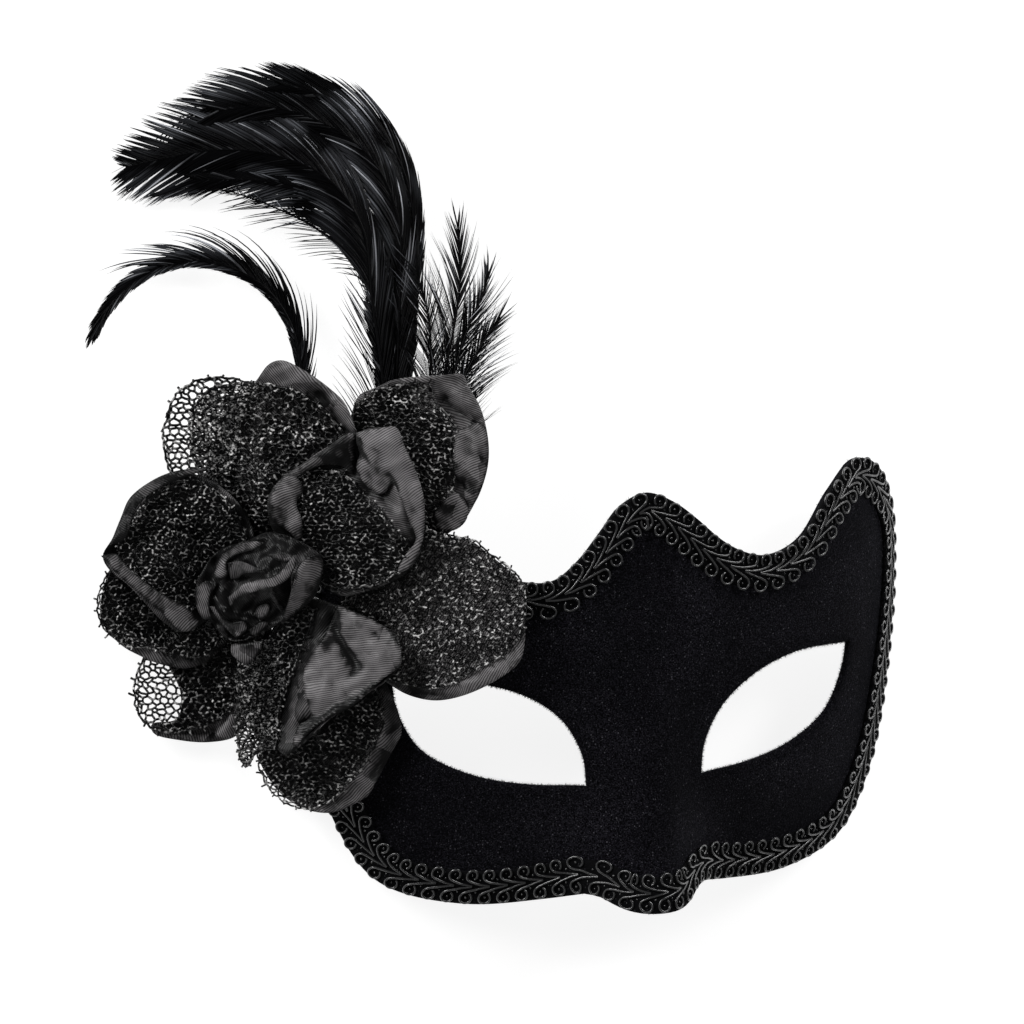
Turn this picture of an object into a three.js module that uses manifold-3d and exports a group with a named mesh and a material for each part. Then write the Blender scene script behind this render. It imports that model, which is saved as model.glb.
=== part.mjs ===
// Feather masquerade mask, lying face up as it does when it is loose.
// Millimetres, +Z up. The forehead points to +Y and the wearer's right side, with the flower, to -X.
import * as THREE from 'three';
import { mergeVertices } from 'three/addons/utils/BufferGeometryUtils.js';
import Module from 'manifold-3d';

const wasm = await Module();
wasm.setup();

// Mask face: arc is measured sideways over the face from the centre line, height up the face
const SHELL_THICK = 1.6;
const WRAP_RADIUS = 156;       // bend of the face at its centre line
const WRAP_TIGHTEN = 0.45;     // extra bend at an arc of 100 mm
const NOSE_RISE = 21;          // nose height at its tip
const NOSE_TOP = 24;           // height where the nose bridge starts
const NOSE_LENGTH = 75;
const NOSE_BRIDGE_HALF = 9.5;
const NOSE_WING_HALF = 18;
const BROW_RADIUS = 430;       // bend of the face from forehead to cheek
const FACE_MIDDLE = 8;         // height of the flattest line of the face
const EDGE_ROLL = 8;           // how far the outer edge curls back
const EDGE_HALF_ARC = 108;
const EDGE_HALF_HEIGHT = 65;

// Outline of one half, [arc, height], from the centre peak round the temple to the nose notch
const CENTRE_PEAK = 67.8;
const BROW_DIP_RIGHT = [[8, 64.6], [15, 59.2], [22, 53], [29, 48.7], [38.5, 46]];
const BROW_DIP_LEFT = [[8, 64.6], [14, 57.6], [20.5, 50], [27.5, 44.9], [36, 45]];
const TEMPLE_AND_CHEEK = [
  [50, 48.8], [62, 60], [75.5, 66.3], [89, 60.4], [99.5, 46], [100.4, 28],
  [95.2, 0], [87, -25], [73.5, -42.4], [50, -48.3], [27, -46.7],
];
const NOSE_NOTCH = [15.8, -43.7];
const NOSE_LOBE = [[9, -47], [0, -47.4]];
const EYE_STEP = 4;
const EYE_INNER = [17.5, -13.8];
const EYE_OUTER = [71.6, 15];
const EYE_UPPER = [[18.6, -5], [24.4, 5.2], [35.2, 12.7], [50, 16.4]];
const EYE_LOWER = [[70.2, 8], [63.6, -2.8], [50, -9.8], [33, -13.2]];

// Gimp braid along the whole edge
const BRAID_WIDTH = 12;
const BRAID_INSET = 0.4;
const BRAID_LIFT = 0.5;
const BRAID_THICK = 2;
const BRAID_CROWN = 0.6;
const BRAID_STEP = 4.2;
const BRAID_SPARE = 0.93;      // share of the way to the opposite edge that a narrow place leaves

// How the mask lies, and how far its side edges are worn flat on the table
const LIE_ANGLE = 9.65;
const EDGE_FLAT = 0.35;

// The bouquet faces a little off the mask's own direction; its plane is measured from its centre
const BOUQUET_TURN = 22;
const BOUQUET_LIFT = 16;
const BOUQUET_ROLL = 1.3;
const BOUQUET_CENTRE = [-94, 38.9];
const TABLE_GAP = 1.2;
const LAYER_GAP = 0.35;
const SETTLE_GAP = 0.15;

// Rose petals: name, direction in degrees, reach, width, rise of the rim, place in the stack
const PETAL_THICK = 0.6;
const PETAL_ROOT = 7;
const STACK_STEP = 1.3;
const STACK_LEVEL = [12, 0.2, 0.15];   // lowest the stack sags: depth at its middle, slopes right and up
const DISH = 2;                // rise of the whole stack from its middle to its rim
const DISH_RADIUS = 60;
const PETALS = [
  { name: 'petal_top_right', turn: 49, reach: 72, width: 50, cup: 0, stack: 0 },
  { name: 'petal_bottom_right', turn: -80, reach: 61, width: 42, cup: 0, stack: 0 },
  { name: 'petal_bottom_left', turn: 229, reach: 57, width: 40, cup: 0, stack: 2 },
  { name: 'petal_right', turn: -13, reach: 61, width: 48, cup: 0, stack: 2 },
  { name: 'petal_left_low', turn: 188, reach: 59, width: 38, cup: 0, stack: 4 },
  { name: 'petal_top_left', turn: 92, reach: 64, width: 42, cup: 0, stack: 4 },
  { name: 'petal_left_high', turn: 160, reach: 59, width: 46, cup: 0, stack: 6 },
  { name: 'petal_inner_high', turn: 56, reach: 51, width: 46, cup: 6, stack: 6 },
  { name: 'petal_inner_low', turn: -68, reach: 42, width: 44, cup: 6, stack: 8 },
];

// Open net laid over each petal, as a share of the petal, with its own turn and reach where it differs
const NET_THICK = 0.4;
const NET_SHARE = 0.86;
const WIDE_NET = { turn: 112, reach: 64, width: 58 };

// Bud: a crumpled knot of cloth on top of the stack
const BUD_AT = [-13, 0.6];
const BUD_RADIUS = 17.3;
const BUD_HEIGHT = 13;
const BUD_STACK = 8;
const BUD_FOLDS = 5;
const BUD_FOLD = 0.06;

// Feathers: centre line points in the bouquet plane, and the widest reach of the vane on each side
const FEATHER_THICK = 0.35;
const FEATHER_STEP = 0.6;
const FEATHER_DEPTH = 27;      // depth at which they cross the edge of the mask
const FEATHER_CLEAR = 3;       // and how far their tips stay off the table
const FEATHER_ROWS = 14;
const FEATHER_QUILL = 0.25;    // share of the length that is bare quill
const FEATHER_NARROW = 0.36;   // and its width there, as a share of the vane's
const FEATHERS = [
  {
    name: 'feather_plume_low', left: 9, right: 6,
    line: [[13, 16], [20, 48], [18, 80], [14, 102], [3, 113], [-20, 115], [-39, 110]],
  },
  {
    name: 'feather_plume_main', left: 9, right: 9,
    line: [[14, 16], [21.5, 50], [18.5, 80], [16, 100], [7, 114.5], [-8, 121.5], [-27, 122.5], [-52, 114]],
  },
  {
    name: 'feather_plume_high', left: 7, right: 8,
    line: [[16, 16], [24, 50], [26, 80], [25.5, 104], [18, 121], [4, 133], [-13, 139], [-30, 139]],
  },
  {
    name: 'feather_plume_back', left: 6, right: 5,
    line: [[18, 16], [26, 50], [29.5, 80], [30, 102], [26, 119], [18, 131], [6, 139], [-9, 143]],
  },
  {
    name: 'feather_arch', left: 3, right: 6,
    line: [
      [-1, 24], [-1.2, 61], [-4, 74], [-10, 83], [-18, 88.5],
      [-29, 91.5], [-39, 90], [-47, 86], [-54, 79], [-60, 69.5],
    ],
  },
  { name: 'hackle_short', left: 6, right: 6, line: [[30, 24], [34.5, 62], [34, 76], [30.5, 89]] },
  {
    name: 'hackle_upright', left: 6, right: 6,
    line: [[32, 24], [38.5, 60], [41.7, 79], [42.8, 91], [41.7, 105]],
  },
  { name: 'hackle_leaning', left: 5, right: 6, line: [[34, 24], [41, 60], [46, 76], [51, 88], [52, 95]] },
  { name: 'hackle_low', left: 5, right: 5, line: [[36, 24], [43, 58], [49.5, 71], [56, 80]] },
];

// Colours
const VELVET = { color: 0x0c0c0e, roughness: 0.95, metalness: 0 };
const BRAID = { color: 0x141416, roughness: 0.45, metalness: 0 };
const TAFFETA = { color: 0x2c2b2e, roughness: 0.5, metalness: 0 };
const NET = { color: 0x161618, roughness: 0.4, metalness: 0 };
const FEATHER = { color: 0x0e0f12, roughness: 0.5, metalness: 0 };

const mask = new THREE.Group();
const clamp = (value, low, high) => Math.min(Math.max(value, low), high);

function addPiece(name, geometry, look) {
  geometry.computeVertexNormals();
  const piece = new THREE.Mesh(geometry, new THREE.MeshStandardMaterial(look));
  piece.name = name;
  mask.add(piece);
}

// Solid from a closed three.js geometry, and back
function solidOf(geometry) {
  const bare = geometry.clone();
  bare.deleteAttribute('normal');
  bare.deleteAttribute('uv');
  const merged = mergeVertices(bare, 1e-4);
  return new wasm.Manifold(new wasm.Mesh({
    numProp: 3,
    vertProperties: new Float32Array(merged.attributes.position.array),
    triVerts: new Uint32Array(merged.index.array),
  }));
}

function geometryOf(solid) {
  const mesh = solid.getMesh();
  const points = [];
  for (let i = 0; i < mesh.vertProperties.length; i += mesh.numProp) {
    points.push(mesh.vertProperties[i], mesh.vertProperties[i + 1], mesh.vertProperties[i + 2]);
  }
  return geometryFrom(points, Array.from(mesh.triVerts));
}

function geometryFrom(points, faces) {
  const geometry = new THREE.BufferGeometry();
  geometry.setAttribute('position', new THREE.Float32BufferAttribute(points, 3));
  geometry.setIndex(faces);
  return geometry;
}

// Closed surface with its faces turned outwards, whichever way they were listed
function closedFrom(points, faces) {
  const corner = (i) => new THREE.Vector3(points[3 * i], points[3 * i + 1], points[3 * i + 2]);
  let volume = 0;
  for (let k = 0; k < faces.length; k += 3) {
    volume += corner(faces[k]).dot(corner(faces[k + 1]).cross(corner(faces[k + 2])));
  }
  return geometryFrom(points, volume < 0 ? faces.reverse() : faces);
}

// The face surface: sideways wrap as a running table, then nose, brow bend and rolled edge
const WRAP_STEP = 0.5;
const WRAP_TABLE = [[0, 0]];
for (let i = 1; i <= 240; i += 1) {
  const arc = (i - 0.5) * WRAP_STEP;
  const lean = (arc / WRAP_RADIUS) * (1 + WRAP_TIGHTEN * (arc / 100) ** 4);
  const [x, z] = WRAP_TABLE[i - 1];
  WRAP_TABLE.push([x + Math.cos(lean) * WRAP_STEP, z - Math.sin(lean) * WRAP_STEP]);
}

function faceAt(arc, height) {
  const place = Math.abs(arc) / WRAP_STEP;
  const row = Math.min(Math.floor(place), WRAP_TABLE.length - 2);
  const part = place - row;
  const x = WRAP_TABLE[row][0] * (1 - part) + WRAP_TABLE[row + 1][0] * part;
  let z = WRAP_TABLE[row][1] * (1 - part) + WRAP_TABLE[row + 1][1] * part;
  const down = clamp((NOSE_TOP - height) / NOSE_LENGTH, 0, 1);
  const half = NOSE_BRIDGE_HALF + (NOSE_WING_HALF - NOSE_BRIDGE_HALF) * down;
  z += NOSE_RISE * down ** 1.4 * Math.exp(-((arc / half) ** 2));
  const outward = (arc / EDGE_HALF_ARC) ** 2 + ((height - FACE_MIDDLE) / EDGE_HALF_HEIGHT) ** 2;
  z -= EDGE_ROLL * clamp(outward - 0.75, 0, 0.45) ** 2;
  z -= (height - FACE_MIDDLE) ** 2 / (2 * BROW_RADIUS);
  return new THREE.Vector3(Math.sign(arc) * x, height, z);
}

function faceOut(arc, height) {
  const across = faceAt(arc + 0.5, height).sub(faceAt(arc - 0.5, height));
  const up = faceAt(arc, height + 0.5).sub(faceAt(arc, height - 0.5));
  return across.cross(up).normalize();
}

// A point off the face: lift is outwards along the face's own direction
function offFace(arc, height, lift) {
  return faceAt(arc, height).addScaledVector(faceOut(arc, height), lift);
}

// The mask's own frame lies turned by LIE_ANGLE, so the table is a slanting plane in it
const lie = THREE.MathUtils.degToRad(LIE_ANGLE);
const TABLE_UP = new THREE.Vector3(0, Math.sin(lie), Math.cos(lie));

// Smooth open curve through flat points
function flatCurve(points) {
  const through = points.map(([x, y]) => new THREE.Vector3(x, y, 0));
  return new THREE.CatmullRomCurve3(through, false, 'centripetal');
}

// Outline and eye holes in the flat
function openCurve(points, spacing) {
  const curve = flatCurve(points);
  const count = Math.max(2, Math.round(curve.getLength() / spacing));
  return curve.getSpacedPoints(count).map((p) => new THREE.Vector2(p.x, p.y));
}

function rimPoints(spacing) {
  const mirror = (list) => list.map(([a, h]) => [-a, h]).reverse();
  const top = [
    ...mirror([...BROW_DIP_LEFT, ...TEMPLE_AND_CHEEK, NOSE_NOTCH]),
    [0, CENTRE_PEAK],
    ...BROW_DIP_RIGHT, ...TEMPLE_AND_CHEEK, NOSE_NOTCH,
  ];
  const lobe = [NOSE_NOTCH, ...NOSE_LOBE, ...mirror([NOSE_NOTCH, ...NOSE_LOBE.slice(0, -1)])];
  return [...openCurve(top, spacing).slice(0, -1), ...openCurve(lobe, spacing).slice(0, -1)];
}

function eyePoints(side, spacing) {
  const upper = openCurve([EYE_INNER, ...EYE_UPPER, EYE_OUTER], spacing);
  const lower = openCurve([EYE_OUTER, ...EYE_LOWER, EYE_INNER], spacing);
  const around = [...upper.slice(0, -1), ...lower.slice(0, -1)];
  const hole = around.map((p) => new THREE.Vector2(p.x * side, p.y));
  return side > 0 ? hole.reverse() : hole;
}

const rim = rimPoints(BRAID_STEP);

// The lowest part of the shell's edge, raised by what is worn off it
const edgeHeights = (lift) => rim.map((p) => offFace(p.x, p.y, lift).dot(TABLE_UP));
const TABLE_LEVEL = Math.min(...edgeHeights(-SHELL_THICK), ...edgeHeights(0)) + EDGE_FLAT;

// The table as a block under the mask, to wear the edges flat
function tableBlock() {
  const block = new THREE.BoxGeometry(400, 400, 100);
  block.translate(0, 0, TABLE_LEVEL - 50);
  block.rotateX(-lie);
  return solidOf(block);
}

// Mask shell: a gridded, slightly domed slab is cut in the flat and then wrapped on the face
const SLAB_CENTRE = 9;
const SLAB_HEIGHT = 128;
const SLAB_ROWS = 20;
const FINE_COLUMNS = 9;
const FINE_WIDTH = 3;
const COARSE_COLUMNS = 13;
const COARSE_WIDTH = 6;
const DOME = 0.001;

function slab() {
  const columns = 2 * (FINE_COLUMNS + COARSE_COLUMNS);
  const grid = new THREE.BoxGeometry(columns, SLAB_HEIGHT, SHELL_THICK, columns, SLAB_ROWS, 1);
  grid.translate(0, SLAB_CENTRE, -SHELL_THICK / 2);
  const place = grid.attributes.position;
  for (let i = 0; i < place.count; i += 1) {
    const column = Math.abs(place.getX(i));
    const fine = Math.min(column, FINE_COLUMNS);
    const arc = Math.sign(place.getX(i)) * (fine * FINE_WIDTH + (column - fine) * COARSE_WIDTH);
    const height = place.getY(i);
    place.setXYZ(i, arc, height, place.getZ(i) - DOME * (arc * arc + height * height));
  }
  return solidOf(grid);
}

function maskShell() {
  const outline = new THREE.Shape(rim);
  for (const side of [-1, 1]) {
    outline.holes.push(new THREE.Path(eyePoints(side, EYE_STEP)));
  }
  const cutter = new THREE.ExtrudeGeometry(outline, { depth: 60, bevelEnabled: false, curveSegments: 1 });
  cutter.translate(0, 0, -40);
  const flat = geometryOf(slab().intersect(solidOf(cutter)));
  const place = flat.attributes.position;
  for (let i = 0; i < place.count; i += 1) {
    const arc = place.getX(i);
    const height = place.getY(i);
    const lift = clamp(place.getZ(i) + DOME * (arc * arc + height * height), -SHELL_THICK, 0);
    place.setXYZ(i, ...offFace(arc, height, lift));
  }
  return geometryOf(solidOf(flat).subtract(tableBlock()));
}

// Distance in the flat from a point to the outline
function rimDistance(point) {
  let best = Infinity;
  for (let i = 0; i < rim.length; i += 1) {
    const a = rim[i];
    const b = rim[(i + 1) % rim.length];
    const along = b.clone().sub(a);
    const share = clamp(point.clone().sub(a).dot(along) / along.lengthSq(), 0, 1);
    best = Math.min(best, a.clone().addScaledVector(along, share).distanceTo(point));
  }
  return best;
}

// Braid width at each outline point, narrower where the opposite edge is close
function braidSections() {
  return rim.map((point, i) => {
    const before = rim[(i + rim.length - 1) % rim.length];
    const after = rim[(i + 1) % rim.length];
    const along = after.clone().sub(before).normalize();
    const inward = new THREE.Vector2(along.y, -along.x);
    let width = BRAID_WIDTH;
    while (width > 3 && rimDistance(point.clone().addScaledVector(inward, width)) < BRAID_SPARE * width) {
      width -= 0.5;
    }
    return { point, inward, width };
  });
}

function braidTrim() {
  const sections = braidSections();
  const crown = BRAID_THICK + BRAID_CROWN;
  const profile = [[0, 0], [0, BRAID_THICK], [0.5, crown], [1, BRAID_THICK], [1, 0]];
  const points = [];
  const faces = [];
  sections.forEach(({ point, inward, width }) => {
    for (const [share, lift] of profile) {
      const at = point.clone().addScaledVector(inward, BRAID_INSET + share * (width - BRAID_INSET));
      points.push(...offFace(at.x, at.y, BRAID_LIFT + lift));
    }
  });
  const n = profile.length;
  for (let i = 0; i < sections.length; i += 1) {
    const next = (i + 1) % sections.length;
    for (let j = 0; j < n; j += 1) {
      const k = (j + 1) % n;
      faces.push(i * n + j, next * n + j, next * n + k, i * n + j, next * n + k, i * n + k);
    }
  }
  return geometryOf(solidOf(closedFrom(points, faces)).subtract(tableBlock()));
}

// Bouquet plane: right, up and towards the viewer, in the mask's own frame
const turn = THREE.MathUtils.degToRad(BOUQUET_TURN);
const raise = THREE.MathUtils.degToRad(BOUQUET_LIFT);
const OUT = new THREE.Vector3(0, 0, 1);
OUT.applyAxisAngle(new THREE.Vector3(-1, 0, 0), raise).applyAxisAngle(new THREE.Vector3(0, -1, 0), turn);
const RIGHT = new THREE.Vector3(0, 1, 0).cross(OUT).normalize();
const UP = OUT.clone().cross(RIGHT);
RIGHT.applyAxisAngle(OUT, THREE.MathUtils.degToRad(BOUQUET_ROLL));
UP.applyAxisAngle(OUT, THREE.MathUtils.degToRad(BOUQUET_ROLL));

function bouquetPoint(x, y, depth) {
  return new THREE.Vector3()
    .addScaledVector(RIGHT, x + BOUQUET_CENTRE[0])
    .addScaledVector(UP, y + BOUQUET_CENTRE[1])
    .addScaledVector(OUT, depth);
}

// Depth in the bouquet plane at which a point stands a given clearance above the table
function depthOver(x, y, clearance) {
  return (clearance + TABLE_LEVEL - bouquetPoint(x, y, 0).dot(TABLE_UP)) / OUT.dot(TABLE_UP);
}

// Highest depth laid so far, kept on a 1 mm grid over the bouquet plane
const LAID_SPAN = 90;
const LAID_SIDE = 2 * LAID_SPAN + 1;
const laid = new Float64Array(LAID_SIDE ** 2).fill(-Infinity);
const laidIndex = (x, y) => (Math.round(y) + LAID_SPAN) * LAID_SIDE + Math.round(x) + LAID_SPAN;
const onLaid = (x, y) => Math.abs(Math.round(x)) <= LAID_SPAN && Math.abs(Math.round(y)) <= LAID_SPAN;

function layPoint(x, y, depth) {
  if (onLaid(x, y)) {
    const index = laidIndex(x, y);
    laid[index] = Math.max(laid[index], depth);
  }
}

function laidNear(x, y, reach) {
  let highest = depthOver(x, y, TABLE_GAP - LAYER_GAP);
  for (let dx = -reach; dx <= reach; dx += 1) {
    for (let dy = -reach; dy <= reach; dy += 1) {
      if (dx * dx + dy * dy <= reach * reach && onLaid(x + dx, y + dy)) {
        highest = Math.max(highest, laid[laidIndex(x + dx, y + dy)]);
      }
    }
  }
  return highest;
}

// Smooth surface that just clears everything laid so far: spread upwards first, then evened out
const REST_REACH = 12;
let rest = laid;

function smoothRest() {
  const steps = Array.from({ length: LAID_SIDE }, (_, k) => k - LAID_SPAN);
  const [middle, right, up] = STACK_LEVEL;
  const lowest = (x, y) => Math.max(laidNear(x, y, REST_REACH), middle + right * x + up * y);
  rest = Float64Array.from(steps.flatMap((y) => steps.map((x) => lowest(x, y))));
  for (const stride of [1, LAID_SIDE, 1, LAID_SIDE]) {
    rest = rest.map((_, index) => {
      const at = stride === 1 ? index % LAID_SIDE : Math.floor(index / LAID_SIDE);
      let sum = 0;
      for (let k = -REST_REACH / 2; k <= REST_REACH / 2; k += 1) {
        sum += rest[index + (clamp(at + k, 0, LAID_SIDE - 1) - at) * stride];
      }
      return sum / (REST_REACH + 1);
    });
  }
}

function restAt(x, y) {
  const u = clamp(x + LAID_SPAN, 0, LAID_SIDE - 1.001);
  const v = clamp(y + LAID_SPAN, 0, LAID_SIDE - 1.001);
  const at = Math.floor(v) * LAID_SIDE + Math.floor(u);
  const low = rest[at] * (1 - u % 1) + rest[at + 1] * (u % 1);
  const high = rest[at + LAID_SIDE] * (1 - u % 1) + rest[at + LAID_SIDE + 1] * (u % 1);
  return low * (1 - v % 1) + high * (v % 1);
}

// The mask itself is the first thing laid
function layMask() {
  const outline = new THREE.Shape(rim).getPoints();
  const inside = (x, y) => outline.reduce((odd, p, i) => {
    const q = outline[(i + 1) % outline.length];
    const crosses = (p.y > y) !== (q.y > y) && x < ((q.x - p.x) * (y - p.y)) / (q.y - p.y) + p.x;
    return crosses ? !odd : odd;
  }, false);
  for (let arc = -101; arc <= 0; arc += 0.7) {
    for (let height = -49; height <= 67; height += 0.7) {
      if (inside(arc, height)) {
        const onBraid = rimDistance(new THREE.Vector2(arc, height)) < BRAID_WIDTH + 1;
        const braidTop = BRAID_LIFT + BRAID_THICK + BRAID_CROWN;
        const top = offFace(arc, height, onBraid ? braidTop : 0);
        layPoint(top.dot(RIGHT) - BOUQUET_CENTRE[0], top.dot(UP) - BOUQUET_CENTRE[1], top.dot(OUT));
      }
    }
  }
}

// Closed sheet from a grid of [x, y, depth], with the grid's depth as its underside
function sheetSolid(grid, thick) {
  const rows = grid.length;
  const columns = grid[0].length;
  const points = [];
  for (const lift of [thick, 0]) {
    for (const row of grid) {
      for (const [x, y, depth] of row) {
        points.push(...bouquetPoint(x, y, depth + lift));
      }
    }
  }
  const faces = [];
  const under = rows * columns;
  const quad = (a, b, c, d) => faces.push(a, b, c, a, c, d);
  for (let i = 0; i < rows - 1; i += 1) {
    for (let j = 0; j < columns - 1; j += 1) {
      const a = i * columns + j;
      quad(a, a + 1, a + columns + 1, a + columns);
      quad(under + a, under + a + columns, under + a + columns + 1, under + a + 1);
    }
  }
  const edge = [];
  for (let j = 0; j < columns - 1; j += 1) edge.push(j);
  for (let i = 0; i < rows - 1; i += 1) edge.push(i * columns + columns - 1);
  for (let j = columns - 1; j > 0; j -= 1) edge.push((rows - 1) * columns + j);
  for (let i = rows - 1; i > 0; i -= 1) edge.push(i * columns);
  edge.forEach((a, k) => {
    const b = edge[(k + 1) % edge.length];
    quad(b, a, under + a, under + b);
  });
  return closedFrom(points, faces);
}

// Visits points spread over both triangles of every cell of a sheet, with their share of each corner
const SHEET_SAMPLES = 10;

function overSheet(grid, visit) {
  for (let i = 0; i < grid.length - 1; i += 1) {
    for (let j = 0; j < grid[0].length - 1; j += 1) {
      const cell = [grid[i][j], grid[i][j + 1], grid[i + 1][j], grid[i + 1][j + 1]];
      for (let k = 0; k < (SHEET_SAMPLES + 1) ** 2; k += 1) {
        const u = (k % (SHEET_SAMPLES + 1)) / SHEET_SAMPLES;
        const v = Math.floor(k / (SHEET_SAMPLES + 1)) / SHEET_SAMPLES;
        const shares = v >= u ? [1 - v, v - u, 0, u] : [1 - u, 0, u - v, v];
        const place = [0, 1, 2].map((axis) => cell.reduce((sum, p, c) => sum + p[axis] * shares[c], 0));
        visit(place, cell, shares);
      }
    }
  }
}

function laySheet(grid, thick) {
  overSheet(grid, ([x, y, depth]) => layPoint(x, y, depth + thick));
}

// Raises the corners of a sheet where it would cut into what is laid under it
function settleSheet(grid) {
  for (let pass = 0; pass < 4; pass += 1) {
    overSheet(grid, ([x, y, depth], cell, shares) => {
      const short = laidNear(x, y, 1) + SETTLE_GAP - depth;
      if (short > 0) {
        const total = shares.reduce((sum, share) => sum + share * share, 0);
        cell.forEach((corner, c) => {
          corner[2] += (short * shares[c]) / total;
        });
      }
    });
  }
}

// Half width of a petal along its length: narrow at the root, widest past the middle, round at the tip
const PETAL_WIDEST = 0.62;
const PETAL_NECK = 0.25;
const PETAL_ROUND = 0.07;

function petalHalf(t) {
  if (t < PETAL_WIDEST) {
    return PETAL_NECK + (1 - PETAL_NECK) * Math.sin((Math.PI / 2) * (t / PETAL_WIDEST)) ** 0.9;
  }
  const past = (t - PETAL_WIDEST) / (1 - PETAL_WIDEST);
  return PETAL_NECK + (1 - PETAL_NECK) * Math.sqrt(1 - past ** 2);
}

// Grid over a share of a petal, resting on the stack below it
function petalGrid(petal, share, rows, columns) {
  const angle = THREE.MathUtils.degToRad(petal.turn);
  const grid = [];
  for (let i = 0; i <= rows; i += 1) {
    const t = i / rows;
    const row = [];
    for (let j = 0; j <= columns; j += 1) {
      const v = (2 * j) / columns - 1;
      const aside = (v * petal.width * petalHalf(t) * share) / 2;
      const along = PETAL_ROOT + (petal.reach - PETAL_ROOT) * share * t * (1 - PETAL_ROUND * v * v * t);
      const x = along * Math.cos(angle) - aside * Math.sin(angle);
      const y = along * Math.sin(angle) + aside * Math.cos(angle);
      const rise = DISH * (x * x + y * y) / DISH_RADIUS ** 2 + petal.cup * t * t;
      row.push([x, y, restAt(x, y) + LAYER_GAP + rise + petal.stack * STACK_STEP]);
    }
    grid.push(row);
  }
  settleSheet(grid);
  return grid;
}

function addPetal(petal) {
  const cloth = petalGrid(petal, 1, 7, 6);
  addPiece(petal.name, sheetSolid(cloth, PETAL_THICK), TAFFETA);
  laySheet(cloth, PETAL_THICK);
  const widened = petal.name === 'petal_top_left' ? WIDE_NET : {};
  const net = petalGrid({ ...petal, ...widened, stack: petal.stack + 1 }, NET_SHARE, 6, 6);
  addPiece(petal.name.replace('petal', 'net'), sheetSolid(net, NET_THICK), NET);
  laySheet(net, NET_THICK);
}

// Feathers lie level until they come near the table, then bend up along it
const FEATHER_BEND = 4;

function featherDepth(x, y) {
  const over = (depthOver(x, y, FEATHER_CLEAR) - FEATHER_DEPTH) / FEATHER_BEND;
  return FEATHER_DEPTH + FEATHER_BEND * Math.log1p(Math.exp(clamp(over, -20, 20)));
}

// Feather blade: a thin strip along its centre line, quill first
function featherGrid(feather, layer) {
  const curve = flatCurve(feather.line);
  const grid = [];
  for (let i = 0; i <= FEATHER_ROWS; i += 1) {
    const t = i / FEATHER_ROWS;
    const at = curve.getPointAt(t);
    const along = curve.getTangentAt(t);
    const vane = clamp((t - FEATHER_QUILL) / (1 - FEATHER_QUILL), 0, 1);
    const width = FEATHER_NARROW + (1 - FEATHER_NARROW) * Math.sin(Math.PI * vane ** 0.75);
    grid.push([-feather.right, 0, feather.left].map((side) => {
      const x = at.x - along.y * side * width;
      const y = at.y + along.x * side * width;
      return [x, y, featherDepth(x, y) + layer * FEATHER_STEP];
    }));
  }
  return grid;
}

function addFeather(feather, layer) {
  const grid = featherGrid(feather, layer);
  addPiece(feather.name, sheetSolid(grid, FEATHER_THICK), FEATHER);
  laySheet(grid, FEATHER_THICK);
}

// Bud: rings from the middle of its underside, out round its rim and back over the crumpled top
const BUD_SIDES = 18;
const BUD_RINGS = [[0.4, 0], [0.75, 0], [0.94, 0], [1, 0.4], [0.8, 0.85], [0.42, 0.95]];
const BUD_MIDDLE = 0.78;

function addBud() {
  const points = [];
  const faces = [];
  const addPoint = (x, y, height) => {
    const under = Math.max(laidNear(x, y, 4), restAt(x, y) + BUD_STACK * STACK_STEP) + LAYER_GAP;
    points.push(...bouquetPoint(x, y, under + height * BUD_HEIGHT));
  };
  addPoint(...BUD_AT, 0);
  for (const [share, height] of BUD_RINGS) {
    for (let k = 0; k < BUD_SIDES; k += 1) {
      const angle = (2 * Math.PI * k) / BUD_SIDES;
      const fold = BUD_FOLD * Math.cos(BUD_FOLDS * angle);
      const radius = BUD_RADIUS * share * (1 + fold);
      const x = BUD_AT[0] + radius * Math.cos(angle);
      const y = BUD_AT[1] + radius * Math.sin(angle);
      addPoint(x, y, height * (1 - 2 * fold * Math.sin(3 * angle)));
    }
  }
  addPoint(...BUD_AT, BUD_MIDDLE);
  const last = 1 + (BUD_RINGS.length - 1) * BUD_SIDES;
  for (let k = 0; k < BUD_SIDES; k += 1) {
    const next = (k + 1) % BUD_SIDES;
    faces.push(0, 1 + k, 1 + next, last + BUD_SIDES, last + next, last + k);
    for (let ring = 1; ring < last; ring += BUD_SIDES) {
      const above = ring + BUD_SIDES;
      faces.push(ring + k, above + next, ring + next, ring + k, above + k, above + next);
    }
  }
  addPiece('rose_bud', closedFrom(points, faces), TAFFETA);
}

addPiece('mask_shell', maskShell(), VELVET);
addPiece('braid_trim', braidTrim(), BRAID);
layMask();
FEATHERS.forEach(addFeather);
smoothRest();
PETALS.forEach(addPetal);
addBud();

// Turned to lie on its side edges, then moved so that the box stands centred on the origin
mask.rotation.x = lie;
mask.updateMatrixWorld(true);
const box = new THREE.Box3().setFromObject(mask, true);
const middle = box.getCenter(new THREE.Vector3());
mask.position.set(-middle.x, -middle.y, -box.min.z);

const feather_mask = new THREE.Group();
feather_mask.add(mask);
export default feather_mask;
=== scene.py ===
import math
import bmesh
import bpy
import numpy as np
from mathutils import Matrix, Vector, geometry


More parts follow.
